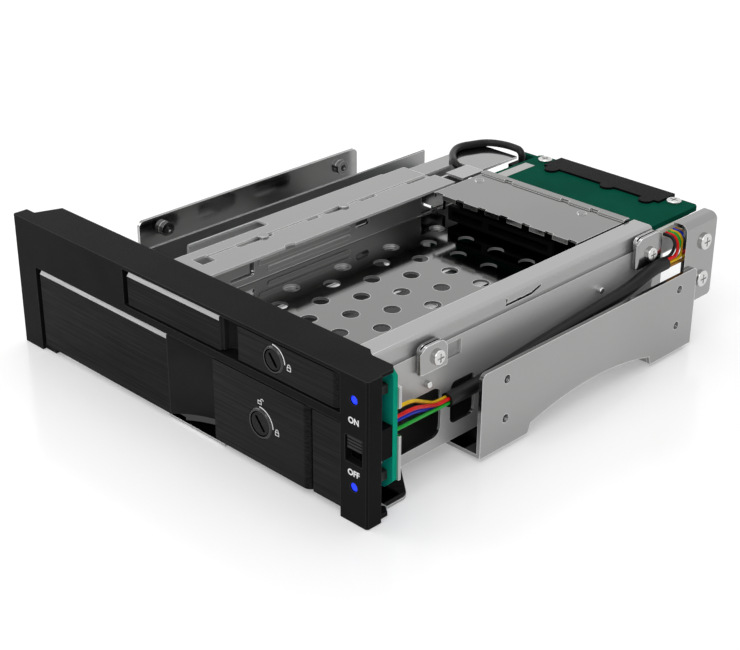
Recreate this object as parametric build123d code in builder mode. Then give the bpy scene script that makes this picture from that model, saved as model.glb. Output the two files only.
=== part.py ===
from build123d import *
from dataclasses import dataclass
import math
import os

os.makedirs("parts", exist_ok=True)

# Hot swap drive cage for one half-height 5.25 inch bay, in millimetres.
# X runs across the front, Y runs from the front face to the rear and Z is up.
# The origin is under the middle of the whole cage, level with its flat underside.
# Depths below are counted from the front face, and y_at turns a depth into a Y.

# Outer size
bezel_width = 148.5
bezel_height = 42.0
overall_depth = 166.0
bezel_overhang = 1.25

# Sheet, wall and fit sizes
sheet = 0.8
rail_sheet = 1.2
board_thickness = 1.6
running_gap = 0.05
press_gap = 0.02
touch_gap = 0.3

# Front bezel
bezel_plate = 2.4
bezel_wall = 1.2
return_depth = 5.0
flange_depth = 13.0
flange_thickness = 1.0
left_stile_width = 9.25
stile_width = 9.55
divider_height = 2.4
upper_opening_height = 11.1
upper_opening_width = 86.2
fixed_block_width = 10.8
hinge_ear_gap = 0.5
hook_width = 7.0
hook_tip = 5.0
bezel_edge_chamfer = 0.5

# Doors and levers
face_setback = 0.3
door_plate = 1.0
door_plate_chamfer = 1.2
door_skin = 1.6
door_back_depth = 8.0
door_wall = 1.2
door_rib_depth = 2.0
door_side_gap = 1.75
door_edge_gap = 0.6
lower_door_bottom = 2.1
lever_length = 37.6
lever_side_gap = 0.4
lever_sheet = 0.8
lever_skin = 1.2
lever_lip = 1.6
lever_lip_depth = 2.4
roll_radius = 2.4
hinge_barrel_radius = 1.7
hinge_pin_radius = 0.8
latch_pin_radius = 0.7
lug_thickness = 1.4
lug_inset = 0.5
lug_root_start = 8.0
lug_root_end = 3.5
tongue_width = 2.4
tongue_hook_depth = 1.2

# Key locks
lock_barrel_length = 6.4
lock_cam_thickness = 0.9
lock_ring_proud = 0.25
key_slot_width = 0.9
key_slot_depth = 1.6
key_slot_angle = 50.0

# Stile fittings
lamp_radius = 1.25
upper_lamp_drop = 6.6
lower_lamp_z = 10.6
lamp_base_width = 3.4
lamp_base_height = 2.8
lamp_base_depth = 2.0
switch_width = 6.1
switch_bottom = 17.4
switch_top = 25.0
switch_body_width = 6.8
knob_width = 5.0
knob_height = 3.6
knob_travel = 3.6
board_depth = 10.2
front_board_bottom = 6.6
front_board_corner = 1.4

# Lower bay for a 3.5 inch drive
lower_bay_width = 102.4
lower_bay_centre = -1.4
floor_front = 6.0
cage_front = 11.4
cage_wall_drop = 2.2
lower_ear_depth = 1.0
rear_socket_length = 6.4

# Upper bay for a 2.5 inch drive
tray_side_room = 9.0
upper_bay_width = 70.5
floor_step = 0.1
tray_lip = 6.6
tray_front = 12.8
tray_rear_room = 17.0
lip_rear_room = 19.5
air_hole_radius = 2.5
air_hole_step_x = 6.0
air_hole_step_y = 10.25
air_hole_columns = 9
air_hole_rows = 8
air_hole_first_depth = 30.4
air_hole_side_room = 11.5
channel_width = 14.4

# Side plate, rails and bracket
side_plate_drop = 5.0
side_plate_bottom = 5.0
side_plate_overrun = 1.1
rail_length = 98.0
rail_lap = 5.5
rail_bottom = 1.2
rail_top = 26.7
rail_front_foot = 20.0
rail_rear_foot = 20.5
rail_arch_rise = 6.5
mount_hole_inset = 10.15
mount_pitch_y = 79.25
mount_low_z = 9.9
mount_pitch_z = 12.0
mount_hole_radius = 1.25
collar_radius = 2.5
collar_length = 1.8
bracket_setback = 7.0
bracket_length = 15.7
bracket_bottom = 14.3

# Rear boards
board_drop = 0.4
upper_board_side_room = 10.3
upper_board_length = 41.2
upper_board_overhang = 4.6
upper_board_gap = 0.1
shield_length = 25.0
shield_overhang = 9.4
shield_side_lap = 1.2
shield_gap = 0.6
connector_width = 42.0
connector_length = 10.8

# Ejectors
ejector_travel = 5.6
ejector_bar_width = 4.0
rivet_radius = 1.2

# Wiring
wire_radius = 0.5
sheath_radius = 2.0
loop_radius = 1.2

# Sizes worked out from the ones above
front_y = -overall_depth / 2
half_width = bezel_width / 2
half_cage = half_width - bezel_overhang
side_edge = half_width - left_stile_width
stile_left = half_width - stile_width
stile_middle = half_width - stile_width / 2
fixed_block_left = stile_left - fixed_block_width
upper_opening_left = stile_left - upper_opening_width
upper_opening_top = bezel_height - flange_thickness
divider_top = upper_opening_top - upper_opening_height
divider_bottom = divider_top - divider_height
upper_lamp_z = bezel_height - upper_lamp_drop
rail_inner = half_cage - rail_sheet
tray_right = half_cage - tray_side_room
tray_top = upper_opening_top
tray_floor_top = divider_top + floor_step
tray_rear = overall_depth - tray_rear_room
lip_rear = tray_rear - lip_rear_room
lower_board_depth = overall_depth - rear_socket_length - board_thickness
cage_rear = lower_board_depth - lower_ear_depth
tray_left = tray_right - 2 * sheet - upper_bay_width
tray_inner_right = tray_right - sheet
side_plate_outer = tray_right + sheet
lower_bay_left = lower_bay_centre - lower_bay_width / 2
lower_bay_right = lower_bay_centre + lower_bay_width / 2
tray_underside = tray_floor_top - sheet
lip_left = tray_right - tray_lip
hook_left = half_width - hook_width
channel_left = tray_left - channel_width
side_plate_top = tray_top - side_plate_drop
side_plate_rear = lip_rear + side_plate_overrun
bracket_front = lip_rear + bracket_setback
bracket_rear = bracket_front + bracket_length
rail_rear = bracket_front + rail_lap
rail_front = rail_rear - rail_length
rail_foot_front = rail_front + rail_front_foot
rail_foot_rear = rail_rear - rail_rear_foot
upper_board_top = tray_top - board_drop
upper_board_left = tray_left + upper_board_side_room
upper_board_right = tray_right - upper_board_gap
upper_board_rear = tray_rear + upper_board_overhang
upper_board_front = upper_board_rear - upper_board_length
shield_front = upper_board_front - shield_overhang
shield_rear = shield_front + shield_length
shield_left = upper_board_left - shield_side_lap
shield_right = lip_left - shield_gap
upper_board_bottom = upper_board_top - board_thickness
door_pin_depth = face_setback + door_plate + hinge_barrel_radius
pivot_depth = face_setback + roll_radius
lug_radius = roll_radius - lever_sheet - 0.15
tongue_hook_start = door_back_depth + door_wall + touch_gap
front_flange_depth = board_depth + board_thickness


@dataclass
class Door:
    """Sizes that differ between the two doors."""
    name: str
    left: float
    bottom: float
    top: float
    lever_right: float
    grip_width: float
    lock_offset: float
    ring_radius: float
    barrel_radius: float
    tongue_height: float
    pin_bottom: float
    pin_top: float

    def __post_init__(self):
        self.lever_left = self.lever_right - lever_length
        self.grip_left = self.lever_left - self.grip_width
        self.pin_x = self.left + hinge_barrel_radius
        self.pivot_x = self.lever_right - roll_radius
        self.lock_x = self.lever_left + self.lock_offset
        self.middle = (self.bottom + self.top) / 2


lower = Door(
    name="lower",
    left=-side_edge + door_side_gap,
    bottom=lower_door_bottom,
    top=divider_bottom - door_edge_gap,
    lever_right=fixed_block_left - lever_side_gap,
    grip_width=19.6,
    lock_offset=18.6,
    ring_radius=4.5,
    barrel_radius=3.6,
    tongue_height=7.0,
    pin_bottom=0.6,
    pin_top=divider_bottom + 1.2,
)
upper = Door(
    name="upper",
    left=upper_opening_left + door_side_gap,
    bottom=divider_top + door_edge_gap,
    top=upper_opening_top - door_edge_gap,
    lever_right=stile_left - lever_side_gap,
    grip_width=7.4,
    lock_offset=13.5,
    ring_radius=3.9,
    barrel_radius=3.1,
    tongue_height=3.6,
    pin_bottom=divider_top - 0.9,
    pin_top=upper_opening_top + 0.5,
)


def y_at(depth):
    return front_y + depth


def facing(depth):
    """Sketch plane parallel to the front face, at a depth."""
    return Plane.XZ.offset(-y_at(depth))


def from_side(x):
    return Plane.YZ.offset(x)


def level(z):
    return Plane.XY.offset(z)


def span(a0, a1, b0, b1, mode=Mode.ADD):
    """Rectangle between two pairs of limits on the sketch plane."""
    with Locations(((a0 + a1) / 2, (b0 + b1) / 2)):
        Rectangle(a1 - a0, b1 - b0, mode=mode)


def bent_sheet(points, thickness, radius):
    """Outline of a bent sheet that lies to the left of its line of points."""
    FilletPolyline(*points, radius=radius)
    offset(amount=thickness, side=Side.LEFT)


def keep(piece, label):
    piece.part.label = label
    export_step(piece.part, f"parts/{label}.step")


lamp_places = [(stile_middle, upper_lamp_z), (stile_middle, lower_lamp_z)]

# Front bezel: frame plate, side walls, top flange, divider and posts
with BuildPart() as front_bezel:
    with BuildSketch(facing(0)):
        span(-half_width, half_width, 0, bezel_height)
        span(-side_edge, stile_left, -1, divider_bottom, mode=Mode.SUBTRACT)
        span(upper_opening_left, stile_left, divider_top, upper_opening_top, mode=Mode.SUBTRACT)
    extrude(amount=-bezel_plate)
    chamfer(front_bezel.edges().filter_by(Axis.Z).group_by(Axis.X)[0].sort_by(Axis.Y)[0], bezel_edge_chamfer)
    outer_edges = front_bezel.edges().filter_by(Axis.Z).group_by(Axis.X)[-1]
    chamfer(outer_edges.sort_by(Axis.Y)[0], bezel_edge_chamfer)
    with BuildSketch(facing(bezel_plate)):
        span(-half_width, -half_width + bezel_wall, 0, bezel_height)
        span(half_width - bezel_wall, half_width, 0, bezel_height)
        span(-side_edge - bezel_wall, -side_edge, 0, divider_bottom)
        span(upper_opening_left - bezel_wall, upper_opening_left, divider_top, upper_opening_top)
        span(-side_edge - bezel_wall, stile_left, divider_bottom, divider_top)
        span(fixed_block_left, stile_left, lower.bottom, divider_bottom)
        span(stile_left, stile_left + bezel_wall, 0, upper_opening_top)
    extrude(amount=-(return_depth - bezel_plate))
    with BuildSketch(facing(return_depth)):
        span(fixed_block_left, stile_left, lower.bottom, divider_bottom)
        span(stile_left, stile_left + bezel_wall, lower.bottom, upper_opening_top)
    extrude(amount=-(door_back_depth - return_depth))
    with BuildSketch(facing(0)):
        span(fixed_block_left, stile_left, lower.bottom, divider_bottom)
    extrude(amount=-bezel_plate)
    with BuildSketch(facing(0)):
        span(fixed_block_left, stile_left, lower.bottom, divider_bottom)
    extrude(amount=-(2 * face_setback + lever_sheet), mode=Mode.SUBTRACT)
    # The top flange has clipped corners and a shallow step on the right.
    with BuildSketch(level(upper_opening_top)):
        with BuildLine():
            Polyline(
                (-half_width, y_at(bezel_plate)),
                (-half_width, y_at(return_depth)),
                (-half_width + 3.85, y_at(return_depth)),
                (-half_width + 6.75, y_at(flange_depth)),
                (half_width - 11.95, y_at(flange_depth)),
                (half_width - 9.65, y_at(flange_depth - 1.9)),
                (half_width - 2.25, y_at(flange_depth - 1.9)),
                (half_width - 0.65, y_at(flange_depth - 3.4)),
                (half_width - 0.65, y_at(return_depth)),
                (half_width, y_at(return_depth)),
                (half_width, y_at(bezel_plate)),
                close=True,
            )
        make_face()
    extrude(amount=flange_thickness)
    # The lower left ear carries the foot of the lower hinge pin.
    with BuildSketch(level(0)):
        span(-side_edge - bezel_wall, lower.pin_x + hinge_barrel_radius, y_at(1.2), y_at(return_depth))
    extrude(amount=lower.bottom - hinge_ear_gap)
    # The small boss under the top edge takes the head of the upper hinge pin.
    with BuildSketch(level(upper.top + 0.2)):
        with Locations((upper.pin_x, y_at(door_pin_depth))):
            Circle(hinge_pin_radius + 0.8)
    extrude(until=Until.NEXT)
    for door in (lower, upper):
        with BuildSketch(level(door.pin_bottom)):
            with Locations((door.pin_x, y_at(door_pin_depth))):
                Circle(hinge_pin_radius + running_gap)
        extrude(amount=door.pin_top - door.pin_bottom + running_gap, mode=Mode.SUBTRACT)
    # Lamp holes and the switch slot in the right stile
    with BuildSketch(facing(0)):
        with Locations(*lamp_places):
            Circle(lamp_radius + running_gap)
        with Locations((stile_middle, (switch_bottom + switch_top) / 2)):
            RectangleRounded(switch_width, switch_top - switch_bottom, 0.4)
    extrude(amount=-bezel_plate, mode=Mode.SUBTRACT)
    # The hook at the foot of the right stile locates the cage floor.
    with BuildSketch(level(0)):
        with BuildLine():
            Polyline(
                (half_width - bezel_wall, y_at(bezel_plate)),
                (half_width - bezel_wall, y_at(return_depth + 0.7 * hook_tip)),
                (half_width - hook_width / 2, y_at(return_depth + hook_tip)),
                (hook_left, y_at(return_depth + hook_tip / 2)),
                (hook_left, y_at(bezel_plate)),
                close=True,
            )
        make_face()
    extrude(amount=bezel_wall)
keep(front_bezel, "front_bezel")

# Narrow brushed plate beside the lower door
with BuildPart() as fixed_plate:
    with BuildSketch(facing(2 * face_setback)):
        span(fixed_block_left, stile_left - 0.2, lower.bottom, lower.top)
    extrude(amount=-lever_sheet)
    chamfer(fixed_plate.faces().sort_by(Axis.Y)[0].edges(), 0.25)
keep(fixed_plate, "fixed_plate")


def scoop_line(door):
    """Front line of the finger grip and of the wall behind the lever."""
    start = (door.grip_left, y_at(face_setback))
    bend = (door.grip_left + 0.42 * door.grip_width, y_at(0.74 * door_back_depth))
    scoop = ThreePointArc(start, bend, (door.lever_left + 1.0, y_at(door_back_depth)))
    Line(scoop @ 1, (door.pivot_x + lug_radius, y_at(door_back_depth)))
    offset(amount=door_wall, side=Side.LEFT)


def make_door(door):
    pin = (door.pin_x, y_at(door_pin_depth))
    pivot = (door.pivot_x, y_at(pivot_depth))
    skin_front = y_at(face_setback + door_plate)
    skin_back = skin_front + door_skin
    height = door.top - door.bottom
    with BuildPart() as moulding:
        with BuildSketch(level(door.bottom)):
            with Locations(pin):
                Circle(hinge_barrel_radius)
            span(door.pin_x, door.grip_left + 0.8, skin_front, skin_back)
            with BuildLine():
                scoop_line(door)
            make_face()
        extrude(amount=height)
        # Stiffening ribs along the bottom and top of the flat part
        with BuildSketch(level(door.bottom)):
            span(door.pin_x, door.grip_left + 1.0, skin_back, skin_back + door_rib_depth)
        extrude(amount=door_wall)
        with BuildSketch(level(door.top - door_wall)):
            span(door.pin_x, door.grip_left + 1.0, skin_back, skin_back + door_rib_depth)
        extrude(amount=door_wall)
        # Two lugs reach forward from the back wall and hold the lever's pin.
        for z in (door.bottom + lug_inset, door.top - lug_inset - lug_thickness):
            with BuildSketch(level(z)):
                with Locations(pivot):
                    Circle(lug_radius)
                span(
                    door.pivot_x - lug_root_start,
                    door.pivot_x - lug_root_end,
                    y_at(door_back_depth),
                    y_at(door_back_depth + door_wall),
                )
                make_hull()
            extrude(amount=lug_thickness)
        # The latch tongue swings through this notch.
        with BuildSketch(facing(door_back_depth - 0.5)):
            half = door.tongue_height / 2 + 0.6
            span(door.pivot_x - 9.2, door.lever_right + 1, door.middle - half, door.middle + half)
        extrude(amount=-(door_wall + 1.0), mode=Mode.SUBTRACT)
        with BuildSketch(level(door.bottom)):
            span(door.left, door.grip_left, y_at(0), skin_front)
            with Locations(pin):
                Circle(hinge_pin_radius + press_gap)
            with Locations(pivot):
                Circle(latch_pin_radius + press_gap)
        extrude(amount=height, mode=Mode.SUBTRACT)
    return moulding


def make_door_plate(door):
    front = y_at(face_setback)
    back = front + door_plate
    with BuildPart() as plate:
        with BuildSketch(from_side(door.left)):
            with BuildLine():
                Polyline(
                    (front, door.bottom),
                    (front, door.top - door_plate_chamfer),
                    (back - 0.2, door.top),
                    (back, door.top),
                    (back, door.bottom),
                    close=True,
                )
            make_face()
        extrude(amount=door.grip_left - door.left)
    return plate


def make_pin(x, depth, radius, bottom, top):
    with BuildPart() as pin:
        with BuildSketch(level(bottom)):
            with Locations((x, y_at(depth))):
                Circle(radius)
        extrude(amount=top - bottom)
        chamfer(pin.edges().filter_by(GeomType.CIRCLE), 0.2)
    return pin


def make_latch(door):
    pivot = (door.pivot_x, y_at(pivot_depth))
    lock = (door.lock_x, door.middle)
    skin_front = y_at(face_setback + lever_sheet)
    lug_zone = lug_inset + lug_thickness + 0.2
    knuckle_radius = roll_radius - lever_sheet
    hook_back = tongue_hook_start + tongue_hook_depth
    with BuildPart() as lever:
        with BuildSketch(level(door.bottom)):
            span(door.lever_left, door.pivot_x, skin_front, skin_front + lever_skin)
            span(
                door.lever_left,
                door.lever_left + lever_lip,
                skin_front,
                skin_front + lever_lip_depth,
            )
        extrude(amount=door.top - door.bottom)
        # Clear the lugs of the door at both ends of the knuckle.
        for z in (door.bottom, door.top - lug_zone):
            with BuildSketch(level(z)):
                span(door.pivot_x - 2.4, door.pivot_x + 1, skin_front, skin_front + lever_skin)
            extrude(amount=lug_zone, mode=Mode.SUBTRACT)
        with BuildSketch(level(door.bottom + lug_zone)):
            with Locations(pivot):
                Circle(knuckle_radius)
            span(door.pivot_x - 5.0, door.pivot_x, skin_front, y_at(pivot_depth) + 0.6)
        extrude(amount=door.top - door.bottom - 2 * lug_zone)
        # The tongue leads back from the knuckle and ends in a hook beside the catch.
        with BuildSketch(level(door.middle - door.tongue_height / 2)):
            span(
                door.pivot_x - tongue_width / 2,
                door.pivot_x + tongue_width / 2,
                y_at(pivot_depth),
                y_at(hook_back),
            )
            with BuildLine():
                Polyline(
                    (door.pivot_x, y_at(tongue_hook_start)),
                    (door.lever_right - 0.2, y_at(tongue_hook_start)),
                    (door.pivot_x + tongue_width / 2, y_at(hook_back)),
                    (door.pivot_x, y_at(hook_back)),
                    close=True,
                )
            make_face()
        extrude(amount=door.tongue_height)
        with BuildSketch(facing(face_setback + lever_sheet)):
            with Locations(lock):
                Circle(door.barrel_radius + 1.1)
        extrude(amount=-(lock_barrel_length - lever_sheet - face_setback))
        with BuildSketch(facing(0)):
            with Locations(lock):
                Circle(door.barrel_radius + running_gap)
        extrude(amount=-door_back_depth, mode=Mode.SUBTRACT)
        with BuildSketch(level(door.bottom)):
            with Locations(pivot):
                Circle(latch_pin_radius + running_gap)
        extrude(amount=door.top - door.bottom, mode=Mode.SUBTRACT)
    return lever


def make_latch_plate(door):
    """Face sheet of the lever, rolled back round the pivot at its right end."""
    with BuildPart() as plate:
        with BuildSketch(level(door.bottom)):
            with BuildLine():
                flat = Line((door.lever_left, y_at(face_setback)), (door.pivot_x, y_at(face_setback)))
                RadiusArc(flat @ 1, (door.lever_right, y_at(pivot_depth)), -roll_radius)
                offset(amount=lever_sheet, side=Side.LEFT)
            make_face()
        extrude(amount=door.top - door.bottom)
        with BuildSketch(facing(0)):
            with Locations((door.lock_x, door.middle)):
                Circle(door.ring_radius + press_gap)
        extrude(amount=-pivot_depth, mode=Mode.SUBTRACT)
    return plate


def make_lock_ring(door):
    lock = (door.lock_x, door.middle)
    height = lever_sheet + lock_ring_proud
    with BuildPart() as ring:
        with BuildSketch(facing(face_setback - lock_ring_proud)):
            with Locations(lock):
                Circle(door.ring_radius)
        extrude(amount=-height)
        chamfer(ring.faces().sort_by(Axis.Y)[0].edges(), 0.35)
        with BuildSketch(facing(0)):
            with Locations(lock):
                Circle(door.barrel_radius + running_gap)
        extrude(amount=-door_back_depth, mode=Mode.SUBTRACT)
    return ring


def make_lock_barrel(door):
    lock = (door.lock_x, door.middle)
    front = face_setback - lock_ring_proud + 0.15
    with BuildPart() as barrel:
        with BuildSketch(facing(front)):
            with Locations(lock):
                Circle(door.barrel_radius)
        extrude(amount=-(lock_barrel_length - front))
        chamfer(barrel.faces().sort_by(Axis.Y)[0].edges(), 0.3)
        with BuildSketch(facing(front)):
            with Locations(lock):
                SlotOverall(door.barrel_radius * 1.45, key_slot_width, rotation=-key_slot_angle)
        extrude(amount=-key_slot_depth, mode=Mode.SUBTRACT)
    return barrel


def make_lock_cam(door):
    lock = (door.lock_x, door.middle)
    with BuildPart() as cam:
        with BuildSketch(facing(lock_barrel_length)):
            with Locations(lock):
                Circle(door.barrel_radius - 0.8)
            with Locations((door.lock_x, door.middle + door.barrel_radius)):
                Circle(1.1)
            make_hull()
        extrude(amount=-lock_cam_thickness)
    return cam


def make_catch(door):
    """Keeper on the bezel post, level with the tongue of the closed lever."""
    half = door.tongue_height / 2
    left = door.lever_right + lever_side_gap
    right = min(left + 6.0, stile_left + bezel_wall)
    with BuildPart() as catch:
        with BuildSketch(facing(door_back_depth)):
            span(left, right, door.middle - half, door.middle + half)
        extrude(amount=-sheet)
        chamfer(catch.edges().filter_by(Axis.Z).group_by(Axis.X)[0].sort_by(Axis.Y)[-1], 0.3)
    return catch


for door in (lower, upper):
    keep(make_door(door), f"{door.name}_door")
    keep(make_door_plate(door), f"{door.name}_door_plate")
    hinge_pin = make_pin(door.pin_x, door_pin_depth, hinge_pin_radius, door.pin_bottom, door.pin_top)
    keep(hinge_pin, f"{door.name}_hinge_pin")
    keep(make_latch(door), f"{door.name}_latch")
    keep(make_latch_plate(door), f"{door.name}_latch_plate")
    latch_pin_ends = (door.bottom + lug_inset, door.top - lug_inset)
    keep(make_pin(door.pivot_x, pivot_depth, latch_pin_radius, *latch_pin_ends), f"{door.name}_latch_pin")
    keep(make_lock_ring(door), f"{door.name}_lock_ring")
    keep(make_lock_barrel(door), f"{door.name}_lock_barrel")
    keep(make_lock_cam(door), f"{door.name}_lock_cam")
    keep(make_catch(door), f"{door.name}_catch")

# Indicator lamps: clear pipes in the stile and white bases on the board
lamp_front = 0.25

with BuildPart() as light_pipes:
    with BuildSketch(facing(lamp_front)):
        with Locations(*lamp_places):
            Circle(lamp_radius)
    extrude(amount=-(board_depth - lamp_base_depth - lamp_front))
    fillet(light_pipes.faces().filter_by(Axis.Y).group_by(Axis.Y)[0].edges(), 0.3)
keep(light_pipes, "light_pipes")

with BuildPart() as lamp_bases:
    with BuildSketch(facing(board_depth - lamp_base_depth)):
        with Locations(*lamp_places):
            RectangleRounded(lamp_base_width, lamp_base_height, 0.4)
    extrude(amount=-lamp_base_depth)
keep(lamp_bases, "lamp_bases")

# Slide switch behind the stile
knob_stem = 2.0
knob_stem_depth = 2.0
knob_gap = 0.2
knob_rib_pitch = 0.9
switch_body_front = bezel_plate + 0.8
switch_body_rim = 0.6
knob_top = switch_top - knob_gap
body_left = stile_middle - switch_body_width / 2
body_right = stile_middle + switch_body_width / 2

with BuildPart() as switch_body:
    with BuildSketch(facing(switch_body_front)):
        span(body_left, body_right, switch_bottom - switch_body_rim, switch_top + switch_body_rim)
    extrude(amount=-(board_depth - switch_body_front))
    with BuildSketch(facing(switch_body_front)):
        slot_bottom = knob_top - knob_height - knob_travel + knob_gap
        slot_half = knob_stem / 2 + knob_gap
        span(stile_middle - slot_half, stile_middle + slot_half, slot_bottom, knob_top)
    extrude(amount=-(knob_stem_depth + knob_gap), mode=Mode.SUBTRACT)
keep(switch_body, "switch_body")

with BuildPart() as switch_knob:
    with BuildSketch(facing(face_setback)):
        with Locations((stile_middle, knob_top - knob_height / 2)):
            Rectangle(knob_width, knob_height)
    extrude(amount=-(switch_body_front - face_setback - running_gap))
    with BuildSketch(facing(face_setback)):
        with Locations((stile_middle, knob_top - knob_height / 2)):
            with GridLocations(0, knob_rib_pitch, 1, 3):
                Rectangle(knob_width, 0.35)
    extrude(amount=-0.5, mode=Mode.SUBTRACT)
    with BuildSketch(facing(switch_body_front - running_gap)):
        span(
            stile_middle - knob_stem / 2,
            stile_middle + knob_stem / 2,
            knob_top - knob_height + 0.4,
            knob_top - 0.4,
        )
    extrude(amount=-knob_stem_depth)
keep(switch_knob, "switch_knob")

# Control board behind the right stile
front_board_left = stile_left + 1.6
front_board_right = half_cage
front_board_top = upper_opening_top - board_drop
front_screw_radius = 0.95
front_screw_places = [(stile_middle - 0.9, front_board_top - 1.9), (stile_middle - 0.9, 14.2)]

with BuildPart() as front_board:
    with BuildSketch(facing(board_depth)):
        with BuildLine():
            Polyline(
                (front_board_left, front_board_bottom),
                (front_board_right - 2 * front_board_corner, front_board_bottom),
                (front_board_right, front_board_bottom + 2 * front_board_corner),
                (front_board_right, front_board_top - front_board_corner),
                (front_board_right - front_board_corner, front_board_top),
                (front_board_left, front_board_top),
                close=True,
            )
        make_face()
        with Locations(*front_screw_places):
            Circle(front_screw_radius + running_gap, mode=Mode.SUBTRACT)
    extrude(amount=-board_thickness)
keep(front_board, "front_board")


def pan_screws(plane, places, shank_radius, shank_length, head_radius, head_height):
    """Pan head screws whose heads stand on the plane and whose shanks go below it."""
    with BuildPart() as screws:
        with BuildSketch(plane):
            with Locations(*places):
                Circle(shank_radius)
        extrude(amount=-shank_length)
        with BuildSketch(plane):
            with Locations(*places):
                Circle(head_radius)
        extrude(amount=head_height)
        tops = screws.faces().sort_by(Axis(plane.origin, plane.z_dir))[-len(places):]
        fillet(tops.edges(), head_height * 0.45)
        with BuildSketch(plane.offset(head_height)):
            with Locations(*places):
                Rectangle(head_radius * 1.15, 0.45)
                Rectangle(0.45, head_radius * 1.15)
        extrude(amount=-head_height * 0.5, mode=Mode.SUBTRACT)
    return screws


front_board_screws = pan_screws(facing(board_depth), front_screw_places, front_screw_radius, 2.2, 1.5, 1.1)
keep(front_board_screws, "front_board_screws")

# Floor and walls of the 3.5 inch bay
cage_left_wall_top = tray_underside - cage_wall_drop
floor_tongue_left = -6.0
floor_tongue_right = 18.0
floor_tongue_front = 1.6
floor_wing_right = half_cage - 2.1
floor_wing_root_right = tray_right - 4.0
floor_wing_front = 10.6
floor_wing_rear = 18.0
floor_wing_root = 27.0
lower_ear_height = 9.0
lower_ear_width = 8.0
lower_ears = [lower_bay_left + 4.6, lower_bay_right - 11.8]
floor_vent_length = 20.0
floor_vent_width = 4.0
floor_vent_pitch_x = 16.0
floor_vent_pitch_y = 30.0
wall_vent_length = 18.0
wall_vent_width = 6.0
wall_vent_pitch = 26.0
wall_vent_z = 14.0

with BuildPart() as lower_cage:
    with BuildSketch(facing(cage_front)):
        with BuildLine():
            bent_sheet(
                [
                    (lower_bay_left - sheet, cage_left_wall_top),
                    (lower_bay_left - sheet, 0),
                    (lower_bay_right + sheet, 0),
                    (lower_bay_right + sheet, tray_underside),
                ],
                sheet,
                1.6,
            )
        make_face()
    extrude(amount=-(cage_rear - cage_front))
    with BuildSketch(level(0)):
        span(floor_tongue_left, floor_tongue_right, y_at(floor_tongue_front), y_at(floor_front))
        span(lower_bay_left + 1, lower_bay_right, y_at(floor_front), y_at(cage_front + 1))
        # The floor runs out to the right under the control board.
        with BuildLine():
            Polyline(
                (lower_bay_right - 1, y_at(floor_front)),
                (hook_left - touch_gap, y_at(floor_front)),
                (hook_left - touch_gap, y_at(floor_wing_front)),
                (floor_wing_right, y_at(floor_wing_front)),
                (floor_wing_right, y_at(floor_wing_rear)),
                (floor_wing_root_right, y_at(floor_wing_root)),
                (lower_bay_right - 1, y_at(floor_wing_root)),
                close=True,
            )
        make_face()
    extrude(amount=sheet)
    fillet(
        lower_cage.edges()
        .filter_by(Axis.Z)
        .filter_by_position(Axis.X, floor_wing_root_right - 1, floor_wing_right + 1)
        .filter_by_position(Axis.Y, y_at(floor_wing_rear - 1), y_at(floor_wing_root + 1)),
        4.0,
    )
    # Ears at the rear carry the lower board.
    for left in lower_ears:
        with BuildSketch(facing(cage_rear)):
            span(left, left + lower_ear_width, 0, lower_ear_height)
        extrude(amount=-lower_ear_depth)
    # Long vents in the floor and the left wall
    with BuildSketch(level(0)):
        with Locations((lower_bay_centre, y_at(cage_rear / 2 + 4))):
            with GridLocations(floor_vent_pitch_x, floor_vent_pitch_y, 5, 4):
                SlotOverall(floor_vent_length, floor_vent_width, rotation=90)
    extrude(amount=sheet, mode=Mode.SUBTRACT)
    with BuildSketch(from_side(lower_bay_left - sheet)):
        with Locations((y_at(cage_rear / 2), wall_vent_z)):
            with GridLocations(wall_vent_pitch, 0, 4, 1):
                SlotOverall(wall_vent_length, wall_vent_width)
    extrude(amount=sheet, mode=Mode.SUBTRACT)
keep(lower_cage, "lower_cage")

# Floor and walls of the 2.5 inch bay, one folded sheet with perforated floor
tray_wall_rear_top = tray_floor_top + 4.0
left_wall_drop = lip_rear - 0.9
tray_tab_front = lip_rear - 10.8
tray_tab_right = tray_left + 7.1
tray_floor_rear = upper_board_rear - 0.2
guide_rib_height = 0.3
guide_rib_width = 1.6
guide_ribs = [(37.7, 74.7, 5.1), (41.0, 74.7, 2.4)]
wall_slots = [(26.8, 36.0, 2.7, 1.2), (77.0, 83.0, 5.4, 2.4)]
wall_tab_slot = (34.2, 36.0)
plug_front = lip_rear + 2.1
plug_rear = plug_front + 10.8
plug_bottom = upper_board_bottom - 3.8
ejector_hook_front = upper_board_front
ejector_hook_thickness = 1.4
hook_bottom = tray_floor_top + 1.2
hook_height = 5.0
ear_screw_z = tray_floor_top + 4.2
ear_screw_places = [(32.9, ear_screw_z), (lip_rear - 4.1, ear_screw_z)]
ear_screw_radius = 1.2
slit_width = 0.8
slit_front = 63.0
slit_rear = 78.0
slit_top = tray_top - 1.6
slit_bottom = tray_top - 3.8

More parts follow.
